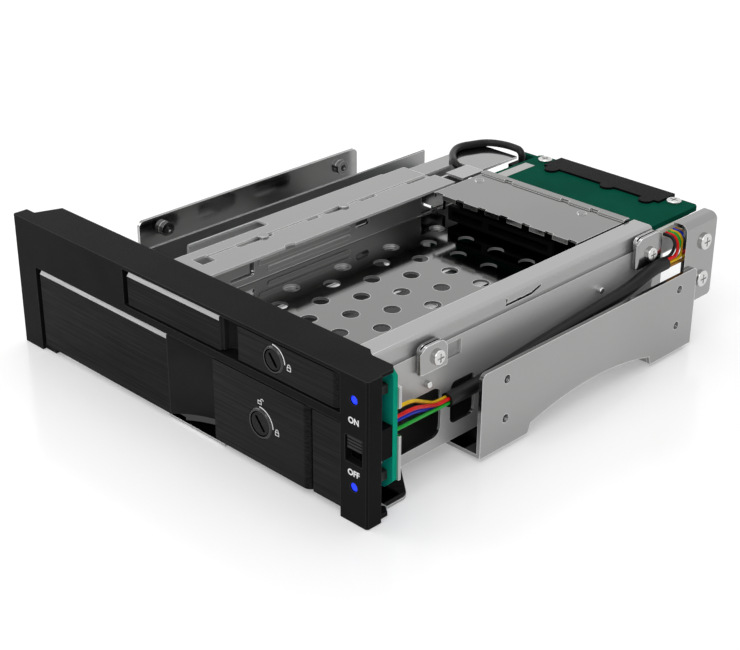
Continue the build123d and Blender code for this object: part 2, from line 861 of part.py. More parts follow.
with BuildPart() as upper_tray:
    with BuildSketch(facing(tray_front)):
        with BuildLine():
            bent_sheet(
                [
                    (tray_left, tray_top - sheet),
                    (tray_left, tray_underside),
                    (tray_right, tray_underside),
                    (tray_right, tray_top),
                    (lip_left, tray_top),
                ],
                sheet,
                1.2,
            )
        make_face()
    extrude(amount=-(tray_rear - tray_front))
    # Behind the bay the walls drop to carry the upper board.
    with BuildSketch(from_side(lip_left)):
        span(y_at(lip_rear), y_at(tray_rear), upper_board_bottom, tray_top)
    extrude(amount=tray_lip, mode=Mode.SUBTRACT)
    with BuildSketch(from_side(tray_left)):
        span(y_at(left_wall_drop), y_at(tray_rear), tray_wall_rear_top, tray_top)
    extrude(amount=sheet, mode=Mode.SUBTRACT)
    with BuildSketch(level(tray_top - sheet)):
        span(tray_left, tray_tab_right, y_at(tray_tab_front), y_at(left_wall_drop))
    extrude(amount=sheet)
    # The white plug passes out through the right wall.
    with BuildSketch(from_side(tray_inner_right)):
        span(y_at(plug_front - 0.4), y_at(plug_rear + 0.4), plug_bottom - 0.4, upper_board_bottom)
    extrude(amount=sheet, mode=Mode.SUBTRACT)
    # The floor runs on under the rear of the upper board.
    with BuildSketch(level(tray_underside)):
        span(upper_board_left, tray_inner_right, y_at(tray_rear - 1), y_at(tray_floor_rear))
    extrude(amount=sheet)
    # Air holes in staggered rows
    hole_pitch_x = 2 * air_hole_step_x
    hole_pitch_y = 2 * air_hole_step_y
    for column_shift, row_shift in ((0, 1), (1, 0)):
        first_x = tray_left + air_hole_side_room + column_shift * air_hole_step_x
        first_y = y_at(air_hole_first_depth + row_shift * air_hole_step_y)
        columns = (air_hole_columns + 1) // 2
        rows = air_hole_rows // 2
        with BuildSketch(level(tray_underside)):
            with Locations((first_x, first_y)):
                with GridLocations(hole_pitch_x, hole_pitch_y, columns, rows, align=Align.MIN):
                    Circle(air_hole_radius)
        extrude(amount=sheet, mode=Mode.SUBTRACT)
    # Slots in the left wall for the ejector hook and for air
    with BuildSketch(from_side(tray_left)):
        hook_slot_front = ejector_hook_front - ejector_travel - 0.5
        hook_slot_rear = ejector_hook_front + ejector_hook_thickness + 0.5
        span(y_at(hook_slot_front), y_at(hook_slot_rear), hook_bottom - 0.6, hook_bottom + hook_height + 0.6)
        for front, rear, rise, width in wall_slots:
            with Locations((y_at((front + rear) / 2), tray_floor_top + rise)):
                SlotOverall(rear - front, width)
        span(y_at(wall_tab_slot[0]), y_at(wall_tab_slot[1]), tray_floor_top + 3.3, tray_floor_top + 7.4)
    extrude(amount=sheet, mode=Mode.SUBTRACT)
    # Pressed ribs guide the side of the drive.
    with BuildSketch(from_side(tray_left + sheet)):
        for front, rear, rise in guide_ribs:
            with Locations((y_at((front + rear) / 2), tray_floor_top + rise)):
                SlotOverall(rear - front, guide_rib_width)
    extrude(amount=guide_rib_height)
    # The hooked slit in the right wall frees a spring finger.
    with BuildSketch(from_side(tray_inner_right)):
        with BuildLine():
            Polyline(
                (y_at(slit_front), slit_top),
                (y_at(slit_front), slit_bottom),
                (y_at(slit_rear - 4.0), slit_bottom),
                (y_at(slit_rear), slit_bottom + 1.5 * slit_width),
                (y_at(slit_rear), slit_bottom + 2.5 * slit_width),
                (y_at(slit_rear - 4.4), slit_bottom + slit_width),
                (y_at(slit_front + slit_width), slit_bottom + slit_width),
                (y_at(slit_front + slit_width), slit_top),
                close=True,
            )
        make_face()
        with Locations([(y_at(depth), z) for depth, z in ear_screw_places]):
            Circle(ear_screw_radius + press_gap)
    extrude(amount=sheet, mode=Mode.SUBTRACT)
keep(upper_tray, "upper_tray")

# Channel over the ejector, with a long groove for its rivets and a cover behind it
channel_front = 14.0
channel_rear = upper_board_front + 2.2
channel_bottom = tray_underside - sheet
channel_foot_right = tray_left + 12.1
channel_lip_right = tray_left + sheet + tray_lip
fold_front = 24.0
fold_opening_rear = 50.0
fold_opening_right = channel_left + 6.0
fold_rear = channel_rear - 11.6
cover_top = tray_top - 1.6
cover_rear = tray_rear + 0.4
cover_right = upper_board_left - 6.6
cover_gap_left = channel_left + 8.0
cover_gap_rear = lip_rear + 2.0
ejector_x = tray_left - 2.7
ejector_front = 32.0
rivet_depths = (42.8, 75.4)
ejector_slots = ((32.6, 46.2), (67.4, 77.2))
ejector_slot_width = 2 * rivet_radius + 0.3
groove_width = 0.7
groove_x = ejector_x - 0.9
groove_ends = (22.5, channel_rear - 12.0)
# Notches along the groove, each from front to rear
groove_notches = (
    (channel_rear - 54.6, channel_rear - 49.8),
    (channel_rear - 32.6, channel_rear - 25.6),
)
groove_notch_width = 1.8
groove_mouth_front = 17.6
fold_edge = 1.4
channel_slot_middle = channel_rear - 38.6
channel_slot_length = 13.0
channel_slot_width = 5.0
channel_slot_pitch = 18.0
pad_right = ejector_x - ejector_bar_width / 2 - running_gap

with BuildPart() as left_channel:
    with BuildSketch(facing(channel_front)):
        with BuildLine():
            bent_sheet(
                [
                    (channel_lip_right, tray_top),
                    (channel_left, tray_top),
                    (channel_left, channel_bottom),
                    (channel_foot_right, channel_bottom),
                ],
                sheet,
                1.2,
            )
        make_face()
    extrude(amount=-(channel_rear - channel_front))
    with BuildSketch(level(tray_top - sheet)):
        # Open corner and opening beside the left fold
        span(channel_left, fold_opening_right, y_at(channel_front), y_at(fold_front))
        span(channel_left + fold_edge, fold_opening_right, y_at(fold_front), y_at(fold_opening_rear))
        for front, rear in ejector_slots:
            with Locations((ejector_x, y_at((front + rear) / 2))):
                SlotOverall(rear - front, ejector_slot_width, rotation=90)
        # Narrow groove between the two strips, with wider notches along it
        span(groove_x, groove_x + groove_width, y_at(groove_ends[0]), y_at(groove_ends[1]))
        span(groove_x - 0.8, groove_x + 4.0, y_at(groove_mouth_front), y_at(groove_ends[0]))
        for front, rear in groove_notches:
            span(groove_x, groove_x + groove_notch_width, y_at(front), y_at(rear))
        with Locations((channel_lip_right - 0.3, y_at(44.3))):
            Ellipse(0.9, 2.0)
        span(channel_left, channel_left + 1.5, y_at(fold_rear), y_at(channel_rear))
    extrude(amount=sheet, mode=Mode.SUBTRACT)
    with BuildSketch(from_side(channel_left)):
        span(y_at(channel_front), y_at(fold_front), channel_bottom + 3.0, tray_top)
        span(y_at(fold_rear), y_at(channel_rear), cover_top, tray_top)
    extrude(amount=fold_edge, mode=Mode.SUBTRACT)
    # Between the strips the rear end is cut back in two steps.
    with BuildSketch(level(tray_top - sheet)):
        span(groove_x, groove_x + 2.4, y_at(groove_ends[1]), y_at(channel_rear))
        span(channel_left, groove_x, y_at(channel_rear - 2.0), y_at(channel_rear))
    extrude(amount=sheet, mode=Mode.SUBTRACT)
    # The cover behind the channel stands a little lower and carries the round cable.
    with BuildSketch(facing(fold_rear)):
        with BuildLine():
            bent_sheet(
                [
                    (cover_right, cover_top),
                    (channel_left, cover_top),
                    (channel_left, channel_bottom),
                ],
                sheet,
                1.2,
            )
        make_face()
    extrude(amount=-(cover_rear - fold_rear))
    with BuildSketch(level(cover_top - sheet)):
        span(cover_gap_left, cover_right, y_at(fold_rear), y_at(cover_gap_rear))
    extrude(amount=sheet, mode=Mode.SUBTRACT)
    # A pressed pad joins the cover to the end of the left strip.
    with BuildSketch(level(cover_top)):
        span(channel_left + 2.2, pad_right, y_at(channel_rear - 6.0), y_at(channel_rear - 2.4))
    extrude(amount=tray_top - sheet - cover_top)
    with BuildSketch(from_side(channel_left)):
        with Locations((y_at(channel_slot_middle), tray_floor_top + 4.6)):
            with GridLocations(channel_slot_pitch, 0, 3, 1):
                SlotOverall(channel_slot_length, channel_slot_width)
    extrude(amount=sheet, mode=Mode.SUBTRACT)
keep(left_channel, "left_channel")


def make_ejector(x, top, width, front, hook_front, hook_right, rivets, through):
    """Slide bar under a sheet, with rivets through the sheet and a hook behind the drive."""
    with BuildPart() as bar:
        with BuildSketch(level(top - ejector_hook_thickness)):
            span(x - width / 2, x + width / 2, y_at(front), y_at(hook_front + ejector_hook_thickness))
        extrude(amount=ejector_hook_thickness)
        fillet(bar.edges().filter_by(Axis.Z).group_by(Axis.Y)[0], 1.2)
        with BuildSketch(facing(hook_front)):
            span(x - width / 2, x + width / 2, hook_bottom, top)
            span(x - width / 2, hook_right, hook_bottom, hook_bottom + hook_height)
        extrude(amount=-ejector_hook_thickness)
        with BuildSketch(level(top)):
            with Locations(*[(x, y_at(depth)) for depth in rivets]):
                Circle(rivet_radius)
        extrude(amount=through + 0.1)
        with BuildSketch(level(top + through + 0.1)):
            with Locations(*[(x, y_at(depth)) for depth in rivets]):
                Circle(rivet_radius + 0.5)
        extrude(amount=0.45)
        fillet(bar.faces().sort_by(Axis.Z)[-len(rivets):].edges(), 0.2)
    return bar


upper_ejector = make_ejector(
    x=ejector_x,
    top=tray_top - sheet - running_gap,
    width=ejector_bar_width,
    front=ejector_front,
    hook_front=ejector_hook_front,
    hook_right=tray_left + 4.5,
    rivets=rivet_depths,
    through=sheet + running_gap,
)
keep(upper_ejector, "upper_ejector")

# Side plate between the tray and the right rail, with its front flange and shelf
# Each window: middle depth, middle height, length, height and corner radius
side_windows = (
    (27.0, 16.0, 20.0, 15.0, 3.0),
    (45.6, 16.4, 9.8, 12.8, 2.0),
    (41.6, side_plate_top - 3.4, 5.6, 4.4, 0.6),
    (lip_rear - 55.5, 16.0, 20.0, 12.0, 2.0),
    (lip_rear - 27.5, 16.0, 20.0, 12.0, 2.0),
)
wire_gap_bottom = 22.0
wire_gap_top = 30.0
front_flange_right = half_cage + 0.6
front_flange_bottom = 9.2
shelf_front = 17.0
shelf_rear = side_plate_rear - 4.6

with BuildPart() as right_side_plate:
    with BuildSketch(level(side_plate_bottom)):
        with BuildLine():
            bent_sheet(
                [
                    (tray_right, y_at(side_plate_rear)),
                    (tray_right, y_at(front_flange_depth)),
                    (front_flange_right, y_at(front_flange_depth)),
                ],
                sheet,
                1.2,
            )
        make_face()
    extrude(amount=side_plate_top - side_plate_bottom)
    with BuildSketch(level(side_plate_bottom)):
        span(lower_bay_right + sheet, tray_right + sheet / 2, y_at(shelf_front), y_at(shelf_rear))
    extrude(amount=sheet)
    with BuildSketch(facing(front_flange_depth)):
        span(tray_right + 2.0, front_flange_right, side_plate_bottom, front_flange_bottom)
        span(front_board_right - 3.4, front_flange_right, wire_gap_bottom, wire_gap_top)
        with Locations(*front_screw_places):
            Circle(front_screw_radius + press_gap)
    extrude(amount=-(sheet + 0.5), mode=Mode.SUBTRACT)
    with BuildSketch(from_side(tray_right)):
        for depth, z, length, height, corner in side_windows:
            with Locations((y_at(depth), z)):
                RectangleRounded(length, height, corner)
        with Locations(*[(y_at(depth), z) for depth, z in ear_screw_places]):
            Circle(ear_screw_radius + press_gap)
    extrude(amount=sheet, mode=Mode.SUBTRACT)
keep(right_side_plate, "right_side_plate")

# Mounting rails
mount_holes = [
    (y_at(depth), z)
    for depth in (rail_front + mount_hole_inset, rail_front + mount_hole_inset + mount_pitch_y)
    for z in (mount_low_z, mount_low_z + mount_pitch_z)
]


def make_rail(outer_x, inward, flange_reach):
    """Rail plate with its inner face towards the cage, feet flanges and tapped collars."""
    plate_x = outer_x if inward > 0 else outer_x - rail_sheet
    with BuildPart() as rail:
        with BuildSketch(from_side(plate_x)):
            with BuildLine():
                Polyline(
                    (y_at(rail_foot_front + 1.0), rail_bottom + 2.8),
                    (y_at(rail_foot_front), rail_bottom),
                    (y_at(rail_front), rail_bottom),
                    (y_at(rail_front), rail_top),
                    (y_at(rail_rear), rail_top),
                    (y_at(rail_rear), rail_bottom),
                    (y_at(rail_foot_rear), rail_bottom),
                    (y_at(rail_foot_rear - 1.0), rail_bottom + 2.8),
                )
                ThreePointArc(
                    (y_at(rail_foot_front + 1.0), rail_bottom + 2.8),
                    (y_at((rail_foot_front + rail_foot_rear) / 2), rail_bottom + rail_arch_rise),
                    (y_at(rail_foot_rear - 1.0), rail_bottom + 2.8),
                )
            make_face()
        extrude(amount=rail_sheet)
        fillet(rail.edges().filter_by(Axis.X).group_by(Axis.Z)[-1], 2.0)
        # Flanges turn in under the cage at both feet.
        inner_x = outer_x + inward * rail_sheet
        flange_end = inner_x + inward * flange_reach
        with BuildSketch(level(rail_bottom)):
            for front, rear in ((rail_front, rail_foot_front), (rail_foot_rear, rail_rear)):
                span(min(inner_x, flange_end), max(inner_x, flange_end), y_at(front), y_at(rear))
        extrude(amount=rail_sheet)
        with BuildSketch(from_side(min(inner_x, inner_x + inward * collar_length))):
            with Locations(*mount_holes):
                Circle(collar_radius)
        extrude(amount=collar_length)
        with BuildSketch(from_side(min(outer_x, inner_x + inward * collar_length))):
            with Locations(*mount_holes):
                Circle(mount_hole_radius)
        extrude(amount=rail_sheet + collar_length, mode=Mode.SUBTRACT)
    return rail


right_reach = rail_inner - (lower_bay_right + sheet)
left_reach = (lower_bay_left - sheet) + rail_inner
right_rail = make_rail(half_cage, -1, right_reach)
keep(right_rail, "right_rail")
left_rail = make_rail(-half_cage, 1, left_reach)
keep(left_rail, "left_rail")

# Upright bracket inside the rear end of the right rail
bracket_flange = 5.0
bracket_screw_radius = 1.3
bracket_screw_places = [(bracket_rear - 6.0, tray_top - 7.6), (bracket_rear - 6.0, 21.2)]

with BuildPart() as rear_bracket:
    with BuildSketch(facing(bracket_front)):
        with BuildLine():
            bent_sheet(
                [
                    (rail_inner, bracket_bottom),
                    (rail_inner, tray_top),
                    (rail_inner - bracket_flange, tray_top),
                ],
                rail_sheet,
                2.4,
            )
        make_face()
    extrude(amount=-(bracket_rear - bracket_front))
    fillet(rear_bracket.edges().filter_by(Axis.X).group_by(Axis.Z)[0], 1.5)
    with BuildSketch(from_side(rail_inner - rail_sheet)):
        with Locations(*[(y_at(depth), z) for depth, z in bracket_screw_places]):
            Circle(bracket_screw_radius + press_gap)
    extrude(amount=rail_sheet, mode=Mode.SUBTRACT)
keep(rear_bracket, "rear_bracket")

bracket_screw_points = [(y_at(depth), z) for depth, z in bracket_screw_places]
bracket_screws = pan_screws(
    from_side(rail_inner), bracket_screw_points, bracket_screw_radius, 3.4, 2.6, 1.1
)
keep(bracket_screws, "bracket_screws")

# Lugs that tie the side plate to the tray, each folded double round its front edge
ear_width = 2.2
ear_below_screw = 3.4
ear_corner = 3.0


def make_ear(screw, ahead, behind, top):
    """Lug round a screw, with its reach ahead of and behind the screw."""
    front = screw[0] - ahead
    rear = screw[0] + behind
    with BuildPart() as ear:
        with BuildSketch(level(screw[1] - ear_below_screw)):
            with BuildLine():
                bent_sheet(
                    [
                        (side_plate_outer, y_at(rear)),
                        (side_plate_outer, y_at(front)),
                        (side_plate_outer + ear_width, y_at(front)),
                        (side_plate_outer + ear_width, y_at(rear)),
                    ],
                    sheet,
                    0.48 * ear_width,
                )
            make_face()
        extrude(amount=top - screw[1] + ear_below_screw)
        # Only the two top corners are rounded.
        with BuildSketch(from_side(side_plate_outer)):
            with Locations((y_at((front + rear) / 2), top)):
                RectangleRounded(
                    rear - front, 4 * (top - screw[1]), ear_corner, align=(Align.CENTER, Align.MAX)
                )
        extrude(amount=ear_width, mode=Mode.INTERSECT)
        with BuildSketch(from_side(side_plate_outer)):
            with Locations((y_at(screw[0]), screw[1])):
                Circle(ear_screw_radius + press_gap)
        extrude(amount=ear_width, mode=Mode.SUBTRACT)
    return ear


front_screw, rear_screw = ear_screw_places
keep(make_ear(front_screw, 6.3, 3.7, tray_top - 2.4), "front_ear")
keep(make_ear(rear_screw, 6.8, 5.4, tray_top - 0.6), "rear_ear")

ear_screw_points = [(y_at(depth), z) for depth, z in ear_screw_places]
ear_screws = pan_screws(
    from_side(side_plate_outer + ear_width), ear_screw_points, ear_screw_radius, 3.6, 2.2, 1.1
)
keep(ear_screws, "ear_screws")

# Studs pressed into the side plate
stud_radius = 1.0
stud_height = 1.6
stud_places = [(31.0, tray_underside - 2.8), (lip_rear - 25.9, tray_underside)]

with BuildPart() as side_studs:
    with BuildSketch(from_side(side_plate_outer)):
        with Locations(*[(y_at(depth), z) for depth, z in stud_places]):
            Circle(stud_radius)
    extrude(amount=stud_height)
    fillet(side_studs.faces().filter_by(Axis.X).group_by(Axis.X)[-1].edges(), 0.3)
keep(side_studs, "side_studs")

# Upper board with its shield, connectors and standoffs
upper_board_step_x = shield_right - 0.4
upper_screw_y = y_at(upper_board_rear - 3.4)
upper_screw_places = [
    (upper_board_left + 4.6, upper_screw_y),
    (upper_board_right - 6.7, upper_screw_y),
]
standoff_radius = 2.6
board_screw_radius = 1.25

with BuildPart() as upper_board:
    with BuildSketch(level(upper_board_bottom)):
        with BuildLine():
            Polyline(
                (upper_board_left, y_at(upper_board_front)),
                (upper_board_step_x, y_at(upper_board_front)),
                (upper_board_step_x, y_at(lip_rear + 0.4)),
                (upper_board_right, y_at(lip_rear + 0.4)),
                (upper_board_right, y_at(upper_board_rear)),
                (upper_board_left, y_at(upper_board_rear)),
                close=True,
            )
        make_face()
        with Locations(*upper_screw_places):
            Circle(board_screw_radius + press_gap, mode=Mode.SUBTRACT)
    extrude(amount=board_thickness)
    chamfer(upper_board.edges().filter_by(Axis.Z).group_by(Axis.Y)[-1], 1.0)
keep(upper_board, "upper_board")

with BuildPart() as board_standoffs:
    with BuildSketch(level(tray_floor_top)):
        with Locations(*upper_screw_places):
            RegularPolygon(standoff_radius, 6)
            Circle(board_screw_radius + press_gap, mode=Mode.SUBTRACT)
    extrude(amount=upper_board_bottom - tray_floor_top)
keep(board_standoffs, "board_standoffs")

upper_board_screws = pan_screws(
    level(upper_board_top), upper_screw_places, board_screw_radius, 5.0, 2.3, 0.9
)
keep(upper_board_screws, "upper_board_screws")

shield_thickness = 0.6
shield_apron = 0.9
shield_hem = 2.8
shield_hem_height = 0.7
shield_teeth = 7
shield_tooth = 3.0

with BuildPart() as shield_plate:
    with BuildSketch(level(upper_board_top)):
        span(shield_left, shield_right, y_at(shield_front), y_at(shield_rear))
    extrude(amount=shield_thickness)
    with BuildSketch(level(upper_board_top - shield_apron)):
        span(shield_left, shield_right, y_at(shield_front), y_at(shield_front + shield_thickness))
    extrude(amount=shield_apron)
    # A round-topped hem stands up along the rear edge.
    with BuildSketch(level(upper_board_top + shield_thickness)):
        span(shield_left, shield_right, y_at(shield_rear - shield_hem), y_at(shield_rear))
    extrude(amount=shield_hem_height)
    fillet(shield_plate.edges().filter_by(Axis.X).group_by(Axis.Z)[-1], 0.45)
    with BuildSketch(level(upper_board_top + shield_thickness)):
        for place in (0.2, 0.6, 0.8):
            notch_x = shield_left + place * (shield_right - shield_left)
            with Locations((notch_x, y_at(shield_rear - shield_hem))):
                Rectangle(shield_tooth, 1.6)
    extrude(amount=shield_hem_height, mode=Mode.SUBTRACT)
    # Teeth along the front edge
    with BuildSketch(level(upper_board_top - shield_apron)):
        with Locations(((shield_left + shield_right) / 2, y_at(shield_front))):
            with GridLocations((shield_right - shield_left - 4) / (shield_teeth - 1), 0, shield_teeth, 1):
                Rectangle(shield_tooth, 1.6)
    extrude(amount=shield_apron + shield_thickness, mode=Mode.SUBTRACT)
    with BuildSketch(level(upper_board_top + shield_thickness)):
        with Locations(
            (shield_left + 3.4, y_at(shield_rear - 7.6)),
            (shield_right - 13.0, y_at(shield_rear - 6.2)),
        ):
            Circle(1.4)
    extrude(amount=0.3)
keep(shield_plate, "shield_plate")


# Data and power slots of a drive connector: distance from its left end and width
drive_slots = ((1.8, 12.6), (16.8, 23.2))


def make_drive_connector(left, seat_bottom, front, rear, top):
    """Receptacle for a disk drive: shell, nose and the two slots in its face."""
    nose = 5.0
    nose_height = 4.8
    with BuildPart() as connector:
        with BuildSketch(from_side(left)):
            span(y_at(front + nose), y_at(rear), seat_bottom, top)
            span(y_at(front), y_at(front + nose + 1), seat_bottom + 0.6, seat_bottom + 0.6 + nose_height)
        extrude(amount=connector_width)
        with BuildSketch(facing(front)):
            for start, width in drive_slots:
                span(left + start, left + start + width, seat_bottom + 2.0, seat_bottom + 4.2)
        extrude(amount=-(nose + 2.5), mode=Mode.SUBTRACT)
        chamfer(connector.faces().sort_by(Axis.Y)[0].outer_wire().edges(), 0.4)
    return connector


upper_connector_front = upper_board_front - 5.2
upper_drive_connector = make_drive_connector(
    upper_board_left + 0.8,
    tray_floor_top + 0.8,
    upper_connector_front,
    upper_connector_front + connector_length,
    upper_board_bottom,
)
keep(upper_drive_connector, "upper_drive_connector")

# Connector bar that wraps the rear edge of the upper board
rear_bar_left = upper_board_left + 7.6
rear_bar_right = rear_bar_left + 44.6
rear_bar_front = upper_board_rear - 7.6
rear_bar_rear = upper_board_rear + 1.2
rear_bar_bottom = tray_floor_top + 1.4
rear_bar_body = upper_board_rear - 4.0
rear_bar_cap = 0.7
rear_bar_top = upper_board_top + rear_bar_cap
rear_bar_foot = 3.4
rear_bar_foot_width = 4.4
rear_bar_middle_foot = 2.4
rear_port_depth = 4.0
rear_tongue_length = 3.4
# Each port: distance from the bar's left end and width
rear_ports = ((3.0, 9.0), (14.6, 9.0), (26.6, 16.0))

with BuildPart() as rear_connector:
    with BuildSketch(from_side(rear_bar_left)):
        span(y_at(rear_bar_body), y_at(rear_bar_rear), rear_bar_bottom, upper_board_bottom)
        span(y_at(upper_board_rear), y_at(rear_bar_rear), upper_board_bottom, rear_bar_top)
        span(y_at(rear_bar_front), y_at(upper_board_rear), upper_board_top, rear_bar_top)
    extrude(amount=rear_bar_right - rear_bar_left)
    with BuildSketch(level(upper_board_top)):
        for left in (rear_bar_left + 2.4, rear_bar_right - 5.4):
            with Locations((left + 1.5, y_at(rear_bar_front))):
                SlotOverall(2 * rear_bar_foot, rear_bar_foot_width, rotation=90)
        with Locations(((rear_bar_left + rear_bar_right) / 2 + 3.0, y_at(rear_bar_front))):
            Circle(rear_bar_middle_foot)
    extrude(amount=rear_bar_cap)
    # Two data ports and the long power port open to the rear.
    with BuildSketch(facing(rear_bar_rear - rear_port_depth)):
        for start, width in rear_ports:
            left = rear_bar_left + start
            span(left, left + width, rear_bar_bottom + 2.0, rear_bar_bottom + 6.2)
    extrude(amount=-rear_port_depth, mode=Mode.SUBTRACT)
    with BuildSketch(facing(rear_bar_rear - rear_port_depth)):
        for start, width in rear_ports:
            left = rear_bar_left + start + 1.0
            span(left, left + width - 2.0, rear_bar_bottom + 3.6, rear_bar_bottom + 4.8)
    extrude(amount=-rear_tongue_length)
keep(rear_connector, "rear_connector")

# Lower board, upright at the rear of the cage
lower_board_left = lower_bay_left + 2.6
lower_board_right = lower_bay_right - 1.8
lower_board_bottom_z = 1.2
lower_board_top_z = tray_underside - 3.2
riser_left = upper_board_left - 11.6
riser_right = riser_left + 10.0
riser_top = upper_board_bottom - 2.0

with BuildPart() as lower_board:
    with BuildSketch(facing(lower_board_depth)):
        span(lower_board_left, lower_board_right, lower_board_bottom_z, lower_board_top_z)
        span(riser_left, riser_right, lower_board_top_z, riser_top)
    extrude(amount=-board_thickness)
keep(lower_board, "lower_board")

lower_drive_connector = make_drive_connector(
    lower_bay_centre - 20.6, 3.2, lower_board_depth - 7.0, lower_board_depth, 11.0
)
keep(lower_drive_connector, "lower_drive_connector")

socket_wall = 1.2
socket_bottom = 4.0
socket_top = 11.0
socket_front = lower_board_depth + board_thickness
socket_floor = 1.4
socket_tongue_gap = 2.2
# Each socket: distance from the middle of the bay and width
rear_sockets = ((-18.6, 14.0), (-0.6, 14.0), (19.4, 22.0))

with BuildPart() as lower_rear_sockets:
    with BuildSketch(facing(socket_front)):
        for start, width in rear_sockets:
            left = lower_bay_centre + start
            span(left, left + width, socket_bottom, socket_top)
    extrude(amount=-rear_socket_length)
    with BuildSketch(facing(socket_front + socket_floor)):
        for start, width in rear_sockets:
            left = lower_bay_centre + start + socket_wall
            span(left, left + width - 2 * socket_wall, socket_bottom + socket_wall, socket_top - socket_wall)
    extrude(amount=-rear_socket_length, mode=Mode.SUBTRACT)
    with BuildSketch(facing(socket_front + socket_floor)):
        for start, width in rear_sockets:
            left = lower_bay_centre + start + socket_tongue_gap
            right = left + width - 2 * socket_tongue_gap
            span(left, right, socket_bottom + 2.9, socket_bottom + 4.1)
    extrude(amount=-(rear_socket_length - socket_tongue_gap))
keep(lower_rear_sockets, "lower_rear_sockets")

# White plug under the right edge of the upper board
plug_length = 8.0
plug_right = tray_right + 1.0
plug_left = plug_right - plug_length

with BuildPart() as white_plug:
    with BuildSketch(level(plug_bottom)):
        span(plug_left, plug_right, y_at(plug_front), y_at(plug_rear))
    extrude(amount=upper_board_bottom - plug_bottom)
    chamfer(white_plug.edges().filter_by(Axis.Y).group_by(Axis.X)[-1].sort_by(Axis.Z)[0], 0.6)
keep(white_plug, "white_plug")

# Loom from the control board to the upper board
loom_x = side_plate_outer + 2.6
loom_rear_x = rail_inner - 2.8
loom_z = 20.3
loom_front = 36.5
loom_rear = lip_rear + 0.9
loom_rear_z = tray_underside + 1.0
strand_shift = 0.6
sheath_route = [
    (loom_x, loom_front, loom_z),
    (loom_x, loom_front + 9.5, loom_z),
    (loom_x + 0.4, loom_front + 47.5, loom_z + 3.9),
    (loom_rear_x - 0.8, lip_rear - 15.5, loom_rear_z - 3.4),
    (loom_rear_x, lip_rear - 5.5, loom_rear_z),
    (loom_rear_x, loom_rear, loom_rear_z),
]


def route(points):
    """Points given as x, depth and z, moved to the part's frame."""
    return [Vector(x, y_at(depth), z) for x, depth, z in points]


def make_cord(radius, *routes):
    """Round cords that run straight between tangent bends, one for each route."""
    with BuildPart() as cord:
        for points in routes:
            stops = route(points)
            bends = []
            for before, corner, after in zip(stops, stops[1:], stops[2:]):
                turn = (corner - before).get_angle(after - corner)
                run = min((corner - before).length, (after - corner).length)
                bends.append(0.45 * run / math.tan(math.radians(turn) / 2))
            with BuildLine() as line:
                FilletPolyline(*stops, radius=bends)
            with BuildSketch(Plane(origin=line.line @ 0, z_dir=line.line % 0)):
                Circle(radius)
            sweep(path=line.line)
            length = sum(edge.length for edge in line.edges())
            volume = length * math.pi * radius ** 2
            print(f"length {length:.1f}, bend radius {min(bends):.1f}, volume by length {volume:.1f}")
        print(f"volume of the sweeps {cord.part.volume:.1f}")
    return cord


wire_sheath = make_cord(sheath_radius, sheath_route)
keep(wire_sheath, "wire_sheath")

# Wires fan out of the front end of the sheath to the control board.
wire_board_x = front_board_right - 1.0
wire_board_z = loom_z + 8.3
wire_fan = {
    "yellow": (-strand_shift, strand_shift, -1.0, 0.0),
    "red": (strand_shift, strand_shift, 0.0, -1.8),
    "blue": (-strand_shift, -strand_shift, -1.0, -3.6),
    "green": (strand_shift, -strand_shift, 0.0, -5.4),
}


def front_route(fan):
    start_x = loom_x + fan[0]
    start_z = loom_z + fan[1]
    end_x = wire_board_x + fan[2]
    end_z = wire_board_z + fan[3]
    return [
        (start_x, loom_front, start_z),
        (start_x, loom_front - 4.5, start_z),
        (end_x, front_flange_depth + 7.2, end_z),
        (end_x, front_flange_depth, end_z),
    ]


# At the rear they loop round to the white plug, the lowest one furthest back.
plug_z = upper_board_bottom - 1.8
plug_first = plug_front + 2.8
plug_pitch = 1.2
strand_rise = 1.2
rear_wires = {
    "black": (-strand_shift, strand_rise, 0),
    "red": (strand_shift, strand_rise, 1),
    "green": (-strand_shift, 0.0, 2),
    "yellow": (strand_shift, 0.0, 3),
    "blue": (-strand_shift, -strand_rise, 4),
    "brown": (strand_shift, -strand_rise, 5),
}


def rear_route(shift, rise, place):
    x = loom_rear_x + shift
    z = loom_rear_z + rise
    depth = plug_first + plug_pitch * place
    return [
        (x, loom_rear, z),
        (x, depth, z),
        (loom_rear_x + 0.4, depth, plug_z - 1.9),
        (loom_rear_x - 1.0, depth, plug_z),
        (plug_right, depth, plug_z),
    ]


for colour, ends in rear_wires.items():
    routes = [rear_route(*ends)]
    if colour in wire_fan:
        routes.append(front_route(wire_fan[colour]))
    keep(make_cord(wire_radius, *routes), f"{colour}_wire")

# Sockets of the round cable, under the upper board and on the riser of the lower one
cable_z = upper_board_bottom - 2.2
loop_z = cover_top + loop_radius + 0.05
riser_middle = (riser_left + riser_right) / 2
board_socket_left = upper_board_left - 2.6
board_socket_depth = lip_rear + 4.5
riser_socket_length = 8.0
riser_socket_top = riser_top - 1.4
riser_cable_depth = lower_board_depth - 6.0

with BuildPart() as cable_sockets:
    with BuildSketch(level(upper_board_bottom - 4.4)):
        span(
            board_socket_left,
            board_socket_left + 5.0,
            y_at(board_socket_depth - 3.0),
            y_at(board_socket_depth + 3.0),
        )
    extrude(amount=4.4)
    with BuildSketch(facing(lower_board_depth)):
        span(riser_left + 1, riser_right - 1, riser_socket_top - 6.8, riser_socket_top)
    extrude(amount=riser_socket_length)
keep(cable_sockets, "cable_sockets")

